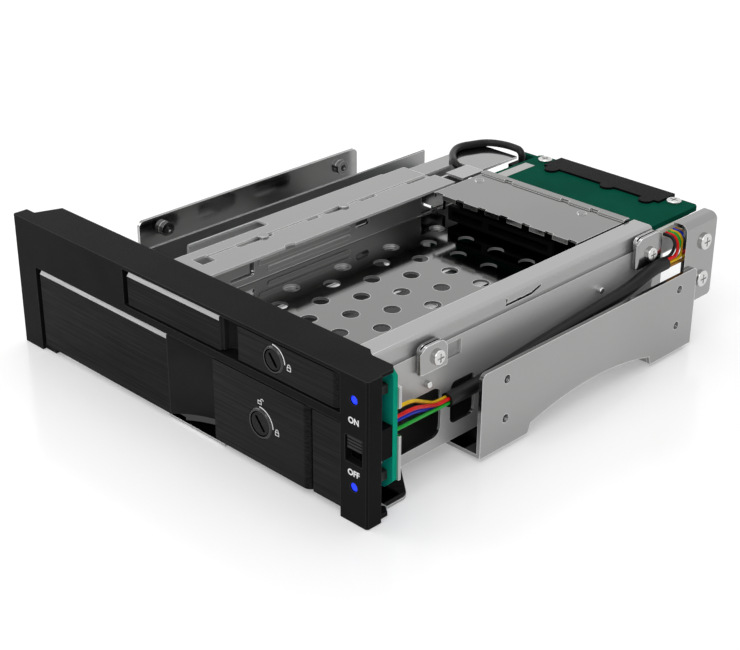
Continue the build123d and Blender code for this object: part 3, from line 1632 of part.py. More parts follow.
# Round cable: out from under the upper board, up through the gap in the cover, round over
# the cover and down into the socket on the riser
loop_route = [
    (board_socket_left, board_socket_depth, cable_z),
    (board_socket_left - 4.4, board_socket_depth, cable_z),
    (tray_left - 1.4, cover_gap_rear - 1.5, cable_z + 0.5),
    (tray_left - 4.4, cover_gap_rear - 4.1, loop_z),
    (channel_left + 3.6, lip_rear + 3.9, loop_z),
    (channel_left + 0.4, cover_rear - 9.4, loop_z),
    (channel_left + 4.4, cover_rear + 0.8, loop_z),
    (riser_left - 2.0, cover_rear + 3.4, loop_z),
    (riser_middle, riser_cable_depth, loop_z),
    (riser_middle, riser_cable_depth, riser_socket_top),
]

cable_loop = make_cord(loop_radius, loop_route)
keep(cable_loop, "cable_loop")
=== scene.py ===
import math

import bmesh
import bpy
from mathutils import Matrix, Vector


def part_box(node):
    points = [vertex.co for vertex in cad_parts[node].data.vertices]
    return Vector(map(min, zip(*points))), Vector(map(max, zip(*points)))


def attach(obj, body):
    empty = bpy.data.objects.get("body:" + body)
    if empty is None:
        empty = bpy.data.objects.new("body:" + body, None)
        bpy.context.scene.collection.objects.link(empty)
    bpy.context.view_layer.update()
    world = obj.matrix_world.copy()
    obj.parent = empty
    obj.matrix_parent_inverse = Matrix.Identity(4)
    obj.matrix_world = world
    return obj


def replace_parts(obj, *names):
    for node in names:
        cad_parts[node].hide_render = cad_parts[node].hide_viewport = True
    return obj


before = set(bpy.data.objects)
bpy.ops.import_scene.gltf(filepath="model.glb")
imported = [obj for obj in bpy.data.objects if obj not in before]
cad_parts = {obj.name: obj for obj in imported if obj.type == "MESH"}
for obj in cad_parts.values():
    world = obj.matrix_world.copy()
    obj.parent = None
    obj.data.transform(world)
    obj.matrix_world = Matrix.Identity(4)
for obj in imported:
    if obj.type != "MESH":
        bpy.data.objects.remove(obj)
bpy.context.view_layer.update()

MM = 0.001
DOORS = ("lower", "upper")
FRONT_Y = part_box("front_bezel")[0].y

# Camera, measured from the bezel's edges in the photograph; angles in degrees
CAMERA_AZIMUTH = 44.558
CAMERA_ELEVATION = 26.513
CAMERA_ROLL = 0.254
CAMERA_PLACE = (306.141 * MM, FRONT_Y - 234.808 * MM, 222.134 * MM)
CAMERA_LENS = 76.79
CAMERA_SENSOR = 36.0
CAMERA_CLIP = 0.01

# Colours of the finishes, linear
WHITE = (1.0, 1.0, 1.0)
STEEL = (0.34, 0.34, 0.337)
# Tray floor darker and its walls and top band lighter than the same steel: painted shade and
# painted reflection
TRAY_FLOOR_PAINTED_SHADE = (0.24, 0.24, 0.237)
TRAY_LIP_PAINTED_REFLECTION = (0.42, 0.42, 0.417)
# Upright walls of the channel painted lighter than its steel: painted light
INNER_WALL_PAINTED_LIGHT = (0.8, 0.8, 0.795)
# Flat faces of the lower cage painted near black: painted shade seen through the tray's holes
BAY_FLOOR_PAINTED_SHADE = (0.025, 0.025, 0.025)
# Painted highlight along the edges and folds of the sheets
EDGE_HIGHLIGHT = (0.9, 0.9, 0.895)
# Upright walls of the right side plate painted lighter than its steel: painted light
SIDE_WALL_PAINTED_LIGHT = (0.5, 0.5, 0.497)
SHIELD_SHEET = (0.27, 0.27, 0.267)
BRIGHT = (0.62, 0.62, 0.615)
THREAD = (0.16, 0.16, 0.158)
TINNED = (0.42, 0.42, 0.41)
LOCK_BLACK = (0.012, 0.012, 0.0125)
LOCK_RING = (0.05, 0.05, 0.051)
BRUSHED_BLACK = (0.0098, 0.0098, 0.0101)
SILVER_EDGE = (0.3, 0.3, 0.3)
BLACK_PLASTIC = (0.0066, 0.0066, 0.0068)
DOOR_PLASTIC = (0.021, 0.021, 0.0215)
KNOB_PLASTIC = (0.028, 0.028, 0.0285)
# Painted highlight along the corners of the black mouldings
CORNER_HIGHLIGHT = (0.045, 0.045, 0.046)
LAMP_BASE = (0.03, 0.03, 0.03)
CONNECTOR_BLACK = (0.0035, 0.0035, 0.0036)
NYLON = (0.72, 0.72, 0.68)
PRINT_WHITE = (0.85, 0.85, 0.85)
BOARD_GREEN = (0.0022, 0.068, 0.041)
# Front board's green, far lighter than the other boards' to offset the shade it sits in: painted
# light
FRONT_BOARD_GREEN_PAINTED_LIGHT = (0.006, 0.36, 0.23)
LAMP_BLUE = (0.006, 0.03, 0.82)
SLEEVE_BLACK = (0.01, 0.01, 0.011)
WIRE_COLOURS = {
    "black": (0.012, 0.012, 0.012),
    "red": (0.78, 0.008, 0.008),
    "yellow": (0.92, 0.58, 0.008),
    "blue": (0.01, 0.035, 0.72),
    "green": (0.008, 0.46, 0.035),
    "brown": (0.48, 0.22, 0.03),
}

# Noises of the finishes: repeats per metre along X, Y and Z, and detail
MOULD_GRAIN = ((2600, 2600, 2600), 2.0)
MOULD_CLOUD = ((60, 60, 60), 2.0)
ROLL_STREAKS = ((700, 16, 700), 3.0)
ROLL_CLOUD = ((22, 22, 22), 2.0)
BRUSH_STREAKS = ((45, 2400, 5200), 5.0)
BRUSH_FINE = ((140, 5000, 9000), 3.0)
METAL_WEAR = ((700, 700, 700), 3.0)
MASK_CLOUD = ((90, 90, 90), 3.0)
LENS_RIPPLE = ((1500, 1500, 1500), 1.0)
SLEEVE_MARKS = ((500, 500, 500), 2.0)

# How much lighter or darker the patches of a finish are
MOULD_PATCH = 1.25
MOULD_PATCH_LIFT = 0.0008
ROLL_PATCH = 0.93
BRUSH_DARK = 0.35
BRUSH_LIGHT = 2.1
MASK_PATCH = 1.7
MASK_PATCH_SHARE = 0.25
SLEEVE_PATCH = 0.8

# Relief of the finishes: depth, and how much of it shows
MOULD_RELIEF = (0.04 * MM, 0.35)
ROLL_RELIEF = (0.004 * MM, 0.06)
BRUSH_RELIEF = (0.02 * MM, 0.25)
WEAR_RELIEF = (0.01 * MM, 0.2)
TRACK_RELIEF = (0.01 * MM, 0.25)
SLEEVE_RELIEF = (0.02 * MM, 0.2)

# Roughness: what the noise takes off and adds, or its lowest and highest value
MOULD_SPREAD = (-0.05, 0.08)
ROLL_SPREAD = (-0.02, 0.03)
WEAR_SPREAD = (-0.04, 0.1)
BRUSH_ROUGHNESS = (0.28, 0.46)
LENS_ROUGHNESS = (0.12, 0.28)
POLISHED = 0.08
DULL_WALL = 0.42

# Part of a node's values that is used: of a noise, of the slope of a face, and of how well
# the rounded and the real direction of a surface agree near an edge
NOISE_RANGE = (0.35, 0.65)
BRUSH_RANGE = (0.3, 0.7)
SLOPE_RANGE = (0.4, 0.6)
EDGE_RANGE = (0.86, 0.985)
FULL_RANGE = (0.0, 1.0)

# Sheets, plates and boards
# Width and samples of the painted edge highlights
EDGE_WIDTH = 0.4 * MM
EDGE_SAMPLES = 6
# Height of the tray's painted reflection band below its top
TRAY_PAINTED_REFLECTION_HEIGHT = 2.5 * MM
SILVER_HEIGHT = 1.2 * MM
DOOR_PLATE_SHINE = 0.68
PLATE_SHINE = 0.85
TRACK_SCALE = 220.0
TRACK_WIDTH = 0.05


def y_at(depth):
    """Place along Y of a depth in millimetres behind the front face."""
    return FRONT_Y + depth * MM


# Materials


class Finish:
    """A principled material with the few node steps that the finishes share."""

    # Sockets of a Mix node that are for colours
    FIRST_COLOUR, SECOND_COLOUR, MIXED_COLOUR = 6, 7, 2

    def __init__(self, name, colour, metallic, roughness, specular=0.5):
        self.material = bpy.data.materials.new(name)
        self.material.use_nodes = True
        self.nodes = self.material.node_tree.nodes
        self.links = self.material.node_tree.links
        self.shader = self.nodes["Principled BSDF"]
        self.shader.inputs["Base Color"].default_value = (*colour, 1)
        self.shader.inputs["Metallic"].default_value = metallic
        self.shader.inputs["Roughness"].default_value = roughness
        self.shader.inputs["Specular IOR Level"].default_value = specular
        coordinates = self.nodes.new("ShaderNodeTexCoord")
        self.place = coordinates.outputs["Object"]
        self.normal = coordinates.outputs["Normal"]

    def drive(self, name, value):
        """Let a node set one of the shader's values."""
        self.links.new(value, self.shader.inputs[name])

    def noise(self, kind):
        """Smooth noise, given by its repeats per metre along each axis and its detail."""
        stretch, detail = kind
        mapping = self.nodes.new("ShaderNodeMapping")
        mapping.inputs["Scale"].default_value = stretch
        self.links.new(self.place, mapping.inputs["Vector"])
        noise = self.nodes.new("ShaderNodeTexNoise")
        noise.inputs["Scale"].default_value = 1.0
        noise.inputs["Detail"].default_value = detail
        self.links.new(mapping.outputs["Vector"], noise.inputs["Vector"])
        return noise.outputs["Fac"]

    def spread(self, value, low, high, source=NOISE_RANGE):
        """Map a value's range to another one, from low to high."""
        step = self.nodes.new("ShaderNodeMapRange")
        step.inputs["From Min"].default_value = source[0]
        step.inputs["From Max"].default_value = source[1]
        step.inputs["To Min"].default_value = low
        step.inputs["To Max"].default_value = high
        self.links.new(value, step.inputs["Value"])
        return step.outputs["Result"]

    def roughen(self, noise, roughness, change):
        """Roughness that a noise lowers and raises by a little."""
        self.drive("Roughness", self.spread(noise, roughness + change[0], roughness + change[1]))

    def mix(self, factor, first, second):
        """Mix of two colours, each a tuple or a socket."""
        mix = self.nodes.new("ShaderNodeMix")
        mix.data_type = "RGBA"
        self.links.new(factor, mix.inputs["Factor"])
        for number, colour in ((self.FIRST_COLOUR, first), (self.SECOND_COLOUR, second)):
            if isinstance(colour, tuple):
                mix.inputs[number].default_value = (*colour, 1)
            else:
                self.links.new(colour, mix.inputs[number])
        return mix.outputs[self.MIXED_COLOUR]

    def bump(self, height, relief):
        """Relief given by its depth and its strength."""
        bump = self.nodes.new("ShaderNodeBump")
        bump.inputs["Distance"].default_value, bump.inputs["Strength"].default_value = relief
        self.links.new(height, bump.inputs["Height"])
        self.drive("Normal", bump.outputs["Normal"])

    def upward(self, vector):
        """The Z part of a vector."""
        split = self.nodes.new("ShaderNodeSeparateXYZ")
        self.links.new(vector, split.inputs["Vector"])
        return split.outputs["Z"]

    def above(self, height):
        """1 where the surface is above a height, else 0."""
        test = self.nodes.new("ShaderNodeMath")
        test.operation = "GREATER_THAN"
        test.inputs[1].default_value = height
        self.links.new(self.upward(self.place), test.inputs[0])
        return test.outputs["Value"]

    def upright(self):
        """1 on upright walls, 0 on flat faces."""
        size = self.nodes.new("ShaderNodeMath")
        size.operation = "ABSOLUTE"
        self.links.new(self.upward(self.normal), size.inputs[0])
        return self.spread(size.outputs["Value"], 1.0, 0.0, SLOPE_RANGE)

    def painted_edge_highlights(self):
        """1 along the edges and folds where a highlight is painted, 0 elsewhere."""
        rounding = self.nodes.new("ShaderNodeBevel")
        rounding.samples = EDGE_SAMPLES
        rounding.inputs["Radius"].default_value = EDGE_WIDTH
        surface = self.nodes.new("ShaderNodeNewGeometry")
        match = self.nodes.new("ShaderNodeVectorMath")
        match.operation = "DOT_PRODUCT"
        self.links.new(rounding.outputs["Normal"], match.inputs[0])
        self.links.new(surface.outputs["Normal"], match.inputs[1])
        return self.spread(match.outputs["Value"], 1.0, 0.0, EDGE_RANGE)


def scaled(colour, factor, lift=0.0):
    """The same colour, lighter or darker."""
    return tuple(min(1, part * factor + lift) for part in colour)


def moulded(name, colour, roughness=0.42, specular=0.03, corner=None):
    """Fine spark-eroded plastic, maybe with a painted highlight along its corners."""
    finish = Finish(name, colour, metallic=0.0, roughness=roughness, specular=specular)
    grain = finish.noise(MOULD_GRAIN)
    cloud = finish.spread(finish.noise(MOULD_CLOUD), 0.0, 1.0)
    face = finish.mix(cloud, colour, scaled(colour, MOULD_PATCH, MOULD_PATCH_LIFT))
    # Painted highlight along the corners
    if corner is not None:
        face = finish.mix(finish.painted_edge_highlights(), face, corner)
    finish.drive("Base Color", face)
    finish.roughen(grain, roughness, MOULD_SPREAD)
    finish.bump(grain, MOULD_RELIEF)
    return finish.material


def rolled_steel(name, colour, roughness=0.13):
    """Bright rolled sheet with very faint streaks along Y, and a painted highlight along its
    edges and folds.
    """
    finish = Finish(name, colour, metallic=1.0, roughness=roughness)
    streaks = finish.noise(ROLL_STREAKS)
    cloud = finish.spread(finish.noise(ROLL_CLOUD), 0.0, 1.0)
    face = finish.mix(cloud, scaled(colour, ROLL_PATCH), colour)
    # Painted highlight along edges and folds
    finish.drive("Base Color", finish.mix(finish.painted_edge_highlights(), face, EDGE_HIGHLIGHT))
    finish.roughen(streaks, roughness, ROLL_SPREAD)
    finish.bump(streaks, ROLL_RELIEF)
    return finish.material


def folded_sheet(name, flat, wall, wall_metallic=1.0, reflection_band=None, height=0.0):
    """Polished sheet with duller upright walls, painted highlights along its edges and folds,
    and maybe a lighter painted reflection band above a height; flats and walls may take
    different colours that paint light or shade.
    """
    finish = Finish(name, flat, metallic=1.0, roughness=POLISHED)
    upright = finish.upright()
    # Lighter colour above a height is a painted reflection band
    face = flat if reflection_band is None else finish.mix(finish.above(height), flat, reflection_band)
    # Upright walls and flat faces take different colours, where light or shade is painted
    colour = finish.mix(upright, face, wall)
    # Painted highlight along edges and folds
    finish.drive("Base Color", finish.mix(finish.painted_edge_highlights(), colour, EDGE_HIGHLIGHT))
    finish.drive("Metallic", finish.spread(upright, 1.0, wall_metallic, FULL_RANGE))
    finish.drive("Roughness", finish.spread(upright, POLISHED, DULL_WALL, FULL_RANGE))
    finish.bump(finish.noise(ROLL_STREAKS), ROLL_RELIEF)
    return finish.material


def brushed_plate(name, silver_from=None):
    """Black plate brushed along X; a door's sloped top edge is bare silver from a height up."""
    finish = Finish(name, BRUSHED_BLACK, metallic=1.0, roughness=0.36)
    shine = PLATE_SHINE if silver_from is None else DOOR_PLATE_SHINE
    finish.shader.inputs["Specular Tint"].default_value = (shine, shine, shine, 1)
    streaks = finish.noise(BRUSH_STREAKS)
    fine = finish.noise(BRUSH_FINE)
    colour = finish.mix(
        finish.spread(streaks, 0.0, 1.0, BRUSH_RANGE),
        scaled(BRUSHED_BLACK, BRUSH_DARK),
        scaled(BRUSHED_BLACK, BRUSH_LIGHT),
    )
    if silver_from is not None:
        colour = finish.mix(finish.above(silver_from), colour, SILVER_EDGE)
    finish.drive("Base Color", colour)
    finish.drive("Roughness", finish.spread(fine, *BRUSH_ROUGHNESS))
    finish.bump(streaks, BRUSH_RELIEF)
    return finish.material


def bright_metal(name, colour=BRIGHT, roughness=0.16):
    """Plain metal with slight wear."""
    finish = Finish(name, colour, metallic=1.0, roughness=roughness)
    wear = finish.noise(METAL_WEAR)
    finish.roughen(wear, roughness, WEAR_SPREAD)
    finish.bump(wear, WEAR_RELIEF)
    return finish.material


def solder_mask(name, colour):
    """Green board with faint tracks under the mask."""
    finish = Finish(name, colour, metallic=0.0, roughness=0.42, specular=0.003)
    tracks = finish.nodes.new("ShaderNodeTexBrick")
    tracks.inputs["Scale"].default_value = TRACK_SCALE
    tracks.inputs["Mortar Size"].default_value = TRACK_WIDTH
    for socket, level in (("Color1", 0), ("Color2", 0), ("Mortar", 1)):
        tracks.inputs[socket].default_value = (level, level, level, 1)
    finish.links.new(finish.place, tracks.inputs["Vector"])
    cloud = finish.spread(finish.noise(MASK_CLOUD), 0.0, MASK_PATCH_SHARE)
    finish.drive("Base Color", finish.mix(cloud, colour, scaled(colour, MASK_PATCH)))
    finish.bump(tracks.outputs["Color"], TRACK_RELIEF)
    return finish.material


def glowing_lens(name, colour):
    """Lens that is lit from behind."""
    finish = Finish(name, colour, metallic=0.0, roughness=0.25, specular=0.2)
    ripple = finish.noise(LENS_RIPPLE)
    finish.drive("Roughness", finish.spread(ripple, *LENS_ROUGHNESS))
    finish.shader.inputs["Emission Color"].default_value = (*colour, 1)
    finish.shader.inputs["Emission Strength"].default_value = 1.0
    return finish.material


def insulation(name, colour):
    """Extruded wire sleeve with slight length marks."""
    finish = Finish(name, colour, metallic=0.0, roughness=0.35, specular=0.2)
    marks = finish.noise(SLEEVE_MARKS)
    worn = finish.spread(marks, 0.0, 1.0)
    finish.drive("Base Color", finish.mix(worn, colour, scaled(colour, SLEEVE_PATCH)))
    finish.bump(marks, SLEEVE_RELIEF)
    return finish.material


finishes = {
    # The bezel and the doors get a painted highlight along their corners
    "plastic": moulded("moulded_black", BLACK_PLASTIC, corner=CORNER_HIGHLIGHT),
    "connector": moulded("connector_black", CONNECTOR_BLACK),
    "nylon": moulded("white_nylon", NYLON, roughness=0.4, specular=0.3),
    "lamp_base": moulded("lamp_base_plastic", LAMP_BASE, roughness=0.4, specular=0.2),
    "steel": rolled_steel("plated_sheet", STEEL),
    # Tray: darker floor, lighter walls and top band, painted shade and painted reflection
    "tray": folded_sheet(
        "tray_sheet_painted_light",
        flat=TRAY_FLOOR_PAINTED_SHADE,
        wall=TRAY_LIP_PAINTED_REFLECTION,
        wall_metallic=0.75,
        reflection_band=TRAY_LIP_PAINTED_REFLECTION,
        height=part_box("upper_tray")[1].z - TRAY_PAINTED_REFLECTION_HEIGHT,
    ),
    # Channel walls painted lighter: painted light
    "channel": folded_sheet("channel_sheet_painted_light", flat=STEEL, wall=INNER_WALL_PAINTED_LIGHT, wall_metallic=0.5),
    # Lower cage's flat faces painted near black: painted shade
    "bay": folded_sheet("bay_sheet_painted_shade", flat=BAY_FLOOR_PAINTED_SHADE, wall=STEEL),
    # Side plate's walls painted lighter: painted light
    "side": folded_sheet("side_sheet_painted_light", flat=STEEL, wall=SIDE_WALL_PAINTED_LIGHT, wall_metallic=0.4),
    "shield": rolled_steel("shield_sheet", SHIELD_SHEET, roughness=0.1),
    "brushed": brushed_plate("brushed_black"),
    "bright": bright_metal("bright_metal"),
    "door": moulded("door_black", DOOR_PLASTIC, roughness=0.36, corner=CORNER_HIGHLIGHT),
    "knob": moulded("knob_black", KNOB_PLASTIC, roughness=0.36, specular=0.1),
    "thread": bright_metal("thread_metal", THREAD, roughness=0.2),
    "pad": bright_metal("tinned_pad", TINNED, roughness=0.3),
    "lock": bright_metal("black_lock", LOCK_BLACK, roughness=0.2),
    "lock_ring": bright_metal("lock_ring_metal", LOCK_RING),
    "board": solder_mask("solder_mask", BOARD_GREEN),
    # Front board green made lighter: painted light
    "front_board": solder_mask("front_solder_mask_painted_light", FRONT_BOARD_GREEN_PAINTED_LIGHT),
    "lamp": glowing_lens("lamp_blue", LAMP_BLUE),
    "sleeve": insulation("cable_sleeve", SLEEVE_BLACK),
    "print": moulded("white_print", PRINT_WHITE, roughness=0.5),
}

# Pieces of each finish; the others are of steel
finish_pieces = {
    "plastic": ["front_bezel"],
    "brushed": ["fixed_plate"],
    "knob": ["switch_knob"],
    "lamp": ["light_pipes"],
    "lamp_base": ["lamp_bases"],
    "nylon": ["white_plug"],
    "front_board": ["front_board"],
    "board": ["upper_board", "lower_board"],
    "tray": ["upper_tray"],
    "channel": ["left_channel"],
    "bay": ["lower_cage"],
    "side": ["right_side_plate"],
    "shield": ["shield_plate"],
    "sleeve": ["wire_sheath", "cable_loop"],
    "connector": [
        "switch_body",
        "upper_drive_connector",
        "rear_connector",
        "lower_drive_connector",
        "lower_rear_sockets",
        "cable_sockets",
    ],
    "bright": [
        "front_board_screws",
        "ear_screws",
        "bracket_screws",
        "side_studs",
        "upper_board_screws",
        "board_standoffs",
    ],
}
# Pieces that each door has of its own
door_pieces = {
    "door": ["door"],
    "plastic": ["latch"],
    "brushed": ["latch_plate"],
    "lock_ring": ["lock_ring"],
    "lock": ["lock_barrel"],
    "bright": ["hinge_pin", "latch_pin", "catch", "lock_cam"],
}
node_finish = {piece: finish for finish, pieces in finish_pieces.items() for piece in pieces}
for finish, pieces in door_pieces.items():
    node_finish.update({f"{door}_{piece}": finish for door in DOORS for piece in pieces})


def finish_of(name):
    """Material of a CAD piece."""
    if name.endswith("_door_plate"):
        return brushed_plate(f"{name}_finish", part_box(name)[1].z - SILVER_HEIGHT)
    if name.endswith("_wire"):
        return insulation(f"{name}_finish", WIRE_COLOURS[name.split("_")[0]])
    return finishes[node_finish.get(name, "steel")]


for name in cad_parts:
    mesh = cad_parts[name].data
    mesh.materials.clear()
    mesh.materials.append(finish_of(name))


# Pieces that are added here


def new_object(name, data):
    """Object in the scene."""
    piece = bpy.data.objects.new(name, data)
    bpy.context.scene.collection.objects.link(piece)
    return piece


def mesh_object(name, build):
    """Object made of a finished bmesh."""
    mesh = bpy.data.meshes.new(name)
    build.to_mesh(mesh)
    build.free()
    return new_object(name, mesh)


def ride_with(piece, body, finish):
    """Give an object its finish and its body."""
    piece.data.materials.append(finishes[finish])
    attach(piece, body)
    return piece


def add_piece(name, build, body, finish):
    """Closed piece made of a bmesh, riding on a body."""
    bmesh.ops.recalc_face_normals(build, faces=build.faces)
    return ride_with(mesh_object(name, build), body, finish)


# Threads in the tapped holes of the rails, in millimetres

HOLE_FRONT = 10.15
HOLE_PITCH_Y = 79.25
HOLE_Z = 9.9
HOLE_PITCH_Z = 12.0
THREAD_START = 0.15
THREAD_PITCH = 0.5
THREAD_TURNS = 5
THREAD_WALL = 1.24
THREAD_ROOT = 1.22
THREAD_CREST = 1.08
THREAD_SIDES = 24


def thread_profile():
    """Ridges of a thread as pairs of depth and radius."""
    profile = [(THREAD_START, THREAD_WALL)]
    for turn in range(THREAD_TURNS):
        start = THREAD_START + turn * THREAD_PITCH
        profile += [(start, THREAD_ROOT), (start + THREAD_PITCH / 2, THREAD_CREST)]
    end = THREAD_START + THREAD_TURNS * THREAD_PITCH
    return profile + [(end, THREAD_ROOT), (end, THREAD_WALL)]


def turn_profile(build, profile, outer_x, inward, y, z):
    """Closed ring made of a profile turned about X."""
    rings = []
    for step in range(THREAD_SIDES):
        angle = 2 * math.pi * step / THREAD_SIDES
        rings.append([
            build.verts.new((
                (outer_x + inward * depth) * MM,
                (y + radius * math.cos(angle)) * MM,
                (z + radius * math.sin(angle)) * MM,
            ))
            for depth, radius in profile
        ])
    for step, ring in enumerate(rings):
        following = rings[(step + 1) % THREAD_SIDES]
        for i in range(len(profile)):
            j = (i + 1) % len(profile)
            build.faces.new((ring[i], ring[j], following[j], following[i]))


def rail_threads(side):
    """Thread ridges in the four tapped holes of a rail."""
    low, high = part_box(f"{side}_rail")
    outer_x, inward = (high.x / MM, -1) if side == "right" else (low.x / MM, 1)
    front = low.y / MM + HOLE_FRONT
    build = bmesh.new()
    for y in (front, front + HOLE_PITCH_Y):
        for z in (HOLE_Z, HOLE_Z + HOLE_PITCH_Z):
            turn_profile(build, thread_profile(), outer_x, inward, y, z)
    add_piece(f"{side}_rail_threads", build, "chassis", "thread")


# Rear board and ground pad

RISER_OFFSET = 11.6 * MM
RISER_WIDTH = 10.0 * MM
SHOULDER_HEIGHT = 17.6 * MM
REAR_BOARD_HEIGHT = 24.8 * MM
PAD_X = 5.4
PAD_DEPTH = 136.5
PAD_SIZE = (3.8, 15.6, 0.1)
PAD_BEVEL = 0.03 * MM


def upright_plate(build, outline, front, rear):
    """Closed plate in the XZ plane between two places along Y."""
    near = [build.verts.new((x, front, z)) for x, z in outline]
    far = [build.verts.new((x, rear, z)) for x, z in outline]
    build.faces.new(near)
    build.faces.new(reversed(far))
    for i in range(len(outline)):
        j = (i + 1) % len(outline)
        build.faces.new((near[j], near[i], far[i], far[j]))


def make_rear_board():
    """Lower board with its low left end and the riser for the round cable."""
    low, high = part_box("lower_board")
    riser_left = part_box("upper_board")[0].x - RISER_OFFSET
    riser_right = riser_left + RISER_WIDTH
    shoulder = low.z + SHOULDER_HEIGHT
    top = low.z + REAR_BOARD_HEIGHT
    outline = [
        (low.x, low.z),
        (high.x, low.z),
        (high.x, top),
        (riser_right, top),
        (riser_right, high.z),
        (riser_left, high.z),
        (riser_left, shoulder),
        (low.x, shoulder),
    ]
    build = bmesh.new()
    upright_plate(build, outline, low.y, high.y)
    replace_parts(add_piece("rear_board", build, "chassis", "board"), "lower_board")


def make_ground_pad():
    """Tinned strip on the upper board beside the cover."""
    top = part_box("upper_board")[1].z
    width, length, height = PAD_SIZE
    build = bmesh.new()
    for vertex in bmesh.ops.create_cube(build, size=1.0)["verts"]:
        x, y, z = vertex.co
        vertex.co.x = (PAD_X + x * width) * MM
        vertex.co.y = y_at(PAD_DEPTH + y * length)
        vertex.co.z = top + (0.5 + z) * height * MM
    edges = list(build.edges)
    bmesh.ops.bevel(build, geom=edges, offset=PAD_BEVEL, segments=1, affect="EDGES")
    add_piece("ground_pad", build, "chassis", "pad")


# Printed marks on the front, in millimetres and degrees

PRINT_LIFT = 0.02 * MM
PRINT_DEPTH = 0.03 * MM
LEVER_DEPTH = 0.3
ARC_INNER_GAP = 0.33
ARC_OUTER_GAP = 0.66
ARC_START = 2
ARC_END = 92
ARC_STEPS = 28
LOCKED_SIGN_GAP = 2.0
LOCKED_SIGN_Z = -0.2
OPEN_SIGN_GAP = 2.2
SIGN_HALF = 0.75
SIGN_LOW = -0.9
SIGN_HIGH = 0.25
SIGN_LINE = 0.22
BOW_INNER = 0.36
BOW_OUTER = 0.58
BOW_Z = 0.45
BOW_STEPS = 12
LETTER_HEIGHT = 1.65 * MM
TYPE_SIZE = 1.42 * LETTER_HEIGHT
WORD_WEIGHT = 0.08 * MM
WORD_HEIGHTS = {"ON": 29.5, "OFF": 14.6}


def flat_print(name, outlines, x, depth, z, body):
    """Thin raised print made of closed outlines round a centre."""
    build = bmesh.new()
    front = y_at(depth) - PRINT_LIFT
    for outline in outlines:
        ring = [build.verts.new((x * MM + u * MM, front, z * MM + v * MM)) for u, v in outline]
        build.faces.new(ring)
    flat = list(build.faces)
    for part in bmesh.ops.extrude_face_region(build, geom=flat)["geom"]:
        if isinstance(part, bmesh.types.BMVert):
            part.co.y += PRINT_DEPTH
    add_piece(name, build, body, "print")


def arc_band(inner, outer, start, end, steps):
    """Outline of a band along a circle, with angles from +X."""
    angles = [math.radians(start + (end - start) * i / steps) for i in range(steps + 1)]
    outside = [(outer * math.cos(a), outer * math.sin(a)) for a in angles]
    inside = [(inner * math.cos(a), inner * math.sin(a)) for a in reversed(angles)]
    return outside + inside


def bar(left, low, right, high):
    """Outline of a rectangle."""
    return [(left, low), (right, low), (right, high), (left, high)]


def shifted(outline, u, v):
    """Outline moved by u and v."""
    return [(a + u, b + v) for a, b in outline]


def padlock(u, v, is_open):
    """Outlined body and shackle of a small padlock sign."""
    inside, floor, ceiling = SIGN_HALF - SIGN_LINE, SIGN_LOW + SIGN_LINE, SIGN_HIGH - SIGN_LINE
    body = [
        bar(-SIGN_HALF, SIGN_LOW, SIGN_HALF, floor),
        bar(-SIGN_HALF, ceiling, SIGN_HALF, SIGN_HIGH),
        bar(-SIGN_HALF, floor, -inside, ceiling),
        bar(inside, floor, SIGN_HALF, ceiling),
    ]
    legs = [bar(BOW_INNER, SIGN_HIGH, BOW_OUTER, BOW_Z)]
    bow = shifted(arc_band(BOW_INNER, BOW_OUTER, 0, 180, BOW_STEPS), 0.0, BOW_Z)
    if is_open:
        bow = shifted(bow, BOW_INNER + BOW_OUTER, 0.0)
    else:
        legs.insert(0, bar(-BOW_OUTER, SIGN_HIGH, -BOW_INNER, BOW_Z))
    return [shifted(outline, u, v) for outline in body + [bow] + legs]


def lock_marks(door):
    """Arc round a key lock and its padlock signs."""
    low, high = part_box(f"{door}_lock_ring")
    x = (low.x + high.x) / 2 / MM
    z = (low.z + high.z) / 2 / MM
    ring = (high.x - low.x) / 2 / MM
    inner, outer = ring + ARC_INNER_GAP, ring + ARC_OUTER_GAP
    marks = [arc_band(inner, outer, ARC_START, ARC_END, ARC_STEPS)]
    marks += padlock(ring + LOCKED_SIGN_GAP, LOCKED_SIGN_Z, False)
    if door == "lower":
        marks += padlock(0.0, ring + OPEN_SIGN_GAP, True)
    flat_print(f"{door}_lock_marks", marks, x, LEVER_DEPTH, z, f"{door}_lever")


def word(text, z):
    """Word on the stile, in line with the switch."""
    low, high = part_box("switch_body")
    curve = bpy.data.curves.new(f"word_{text.lower()}", "FONT")
    curve.body = text
    curve.size = TYPE_SIZE
    curve.align_x = "CENTER"
    curve.align_y = "CENTER"
    curve.extrude = PRINT_DEPTH / 2
    curve.offset = WORD_WEIGHT
    piece = new_object(f"word_{text.lower()}", curve)
    piece.location = ((low.x + high.x) / 2, y_at(0) - PRINT_LIFT, z * MM)
    piece.rotation_euler = (math.radians(90), 0, 0)
    ride_with(piece, "chassis", "print")


for door in DOORS:
    lock_marks(door)
for text, z in WORD_HEIGHTS.items():
    word(text, z)
for side in ("left", "right"):
    rail_threads(side)
make_rear_board()
make_ground_pad()

# Floor, backdrop, light and camera

FLOOR_SIZE = 6.0
FLOOR_DROP = 0.2 * MM
FLOOR_WHITE = (0.88, 0.88, 0.88)
FLOOR_ROUGHNESS = 0.16
FLOOR_GLOW = 0.28
WORLD_LIGHT = 0.5
LIGHT_TARGET = Vector((0, 0, 0.02))
# Place, side length and power of each lamp
LIGHTS = {
    "key": ((0.35, -0.75, 0.9), 0.7, 3.4),
    "top": ((-0.2, 0.2, 1.1), 0.9, 3.0),
    "left": ((-0.9, -0.5, 0.5), 0.5, 1.8),
}


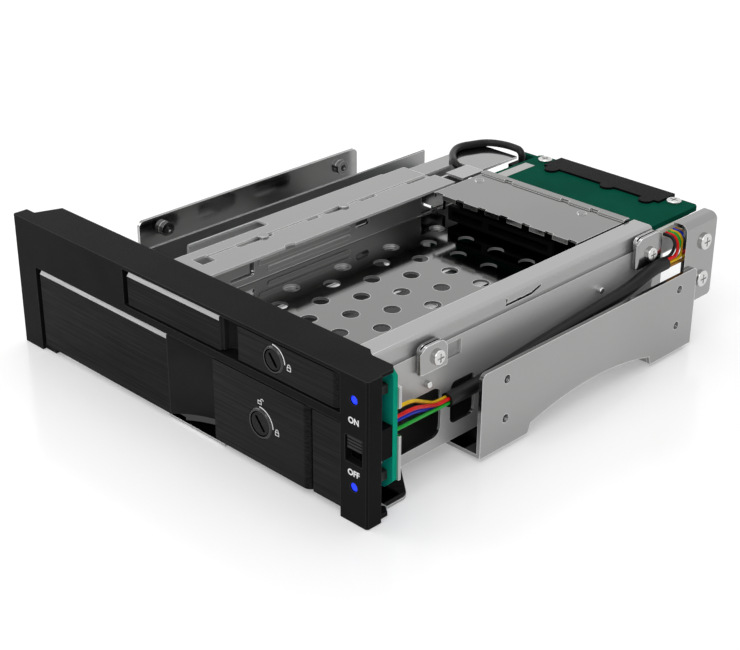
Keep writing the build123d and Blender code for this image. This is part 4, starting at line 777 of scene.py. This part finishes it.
def seen_level(tree, unseen, seen, socket):
    """One level for rays of light, another for the camera and for reflections."""
    rays = tree.nodes.new("ShaderNodeLightPath")
    level = rays.outputs["Is Camera Ray"]
    for ray in ("Is Glossy Ray", "Is Transmission Ray"):
        either = tree.nodes.new("ShaderNodeMath")
        either.operation = "MAXIMUM"
        tree.links.new(level, either.inputs[0])
        tree.links.new(rays.outputs[ray], either.inputs[1])
        level = either.outputs["Value"]
    step = tree.nodes.new("ShaderNodeMapRange")
    step.inputs["To Min"].default_value = unseen
    step.inputs["To Max"].default_value = seen
    tree.links.new(level, step.inputs["Value"])
    tree.links.new(step.outputs["Result"], socket)


def make_floor():
    """Large white floor that shows a soft reflection and the object's shadow."""
    build = bmesh.new()
    bmesh.ops.create_grid(build, x_segments=1, y_segments=1, size=FLOOR_SIZE / 2)
    floor = mesh_object("floor", build)
    floor.location = (0, 0, -FLOOR_DROP)
    material = bpy.data.materials.new("floor_white")
    material.use_nodes = True
    shader = material.node_tree.nodes["Principled BSDF"]
    shader.inputs["Base Color"].default_value = (*FLOOR_WHITE, 1)
    shader.inputs["Roughness"].default_value = FLOOR_ROUGHNESS
    shader.inputs["Emission Color"].default_value = (*WHITE, 1)
    seen_level(material.node_tree, 0.0, FLOOR_GLOW, shader.inputs["Emission Strength"])
    floor.data.materials.append(material)


def make_world():
    """White for the camera and in reflections, a plain grey as light."""
    world = bpy.data.worlds.new("studio")
    bpy.context.scene.world = world
    world.use_nodes = True
    background = world.node_tree.nodes["Background"]
    background.inputs["Color"].default_value = (*WHITE, 1)
    seen_level(world.node_tree, WORLD_LIGHT, 1.0, background.inputs["Strength"])


def area_light(name, place, size, power):
    """Square lamp that faces the cage."""
    light = bpy.data.lights.new(name, "AREA")
    light.shape = "SQUARE"
    light.size = size
    light.energy = power
    lamp = new_object(name, light)
    lamp.location = place
    lamp.rotation_euler = (LIGHT_TARGET - Vector(place)).to_track_quat("-Z", "Y").to_euler()


def make_camera():
    """Camera with the photograph's place, turn and lens."""
    azimuth = math.radians(CAMERA_AZIMUTH)
    elevation = math.radians(CAMERA_ELEVATION)
    roll = math.radians(CAMERA_ROLL)
    back = Vector((
        math.sin(azimuth) * math.cos(elevation),
        -math.cos(azimuth) * math.cos(elevation),
        math.sin(elevation),
    ))
    right = (-back).cross(Vector((0, 0, 1))).normalized()
    up = right.cross(-back).normalized()
    turned_right = math.cos(roll) * right + math.sin(roll) * up
    turned_up = -math.sin(roll) * right + math.cos(roll) * up
    axes = Matrix((turned_right, turned_up, back)).transposed()
    camera = bpy.data.cameras.new("camera")
    camera.sensor_fit = "HORIZONTAL"
    camera.sensor_width = CAMERA_SENSOR
    camera.lens = CAMERA_LENS
    camera.clip_start = CAMERA_CLIP
    holder = new_object("camera", camera)
    holder.matrix_world = Matrix.Translation(CAMERA_PLACE) @ axes.to_4x4()
    bpy.context.scene.camera = holder


make_floor()
make_world()
for name, (place, size, power) in LIGHTS.items():
    area_light(name, place, size, power)
make_camera()
bpy.context.scene.view_settings.view_transform = "Standard"
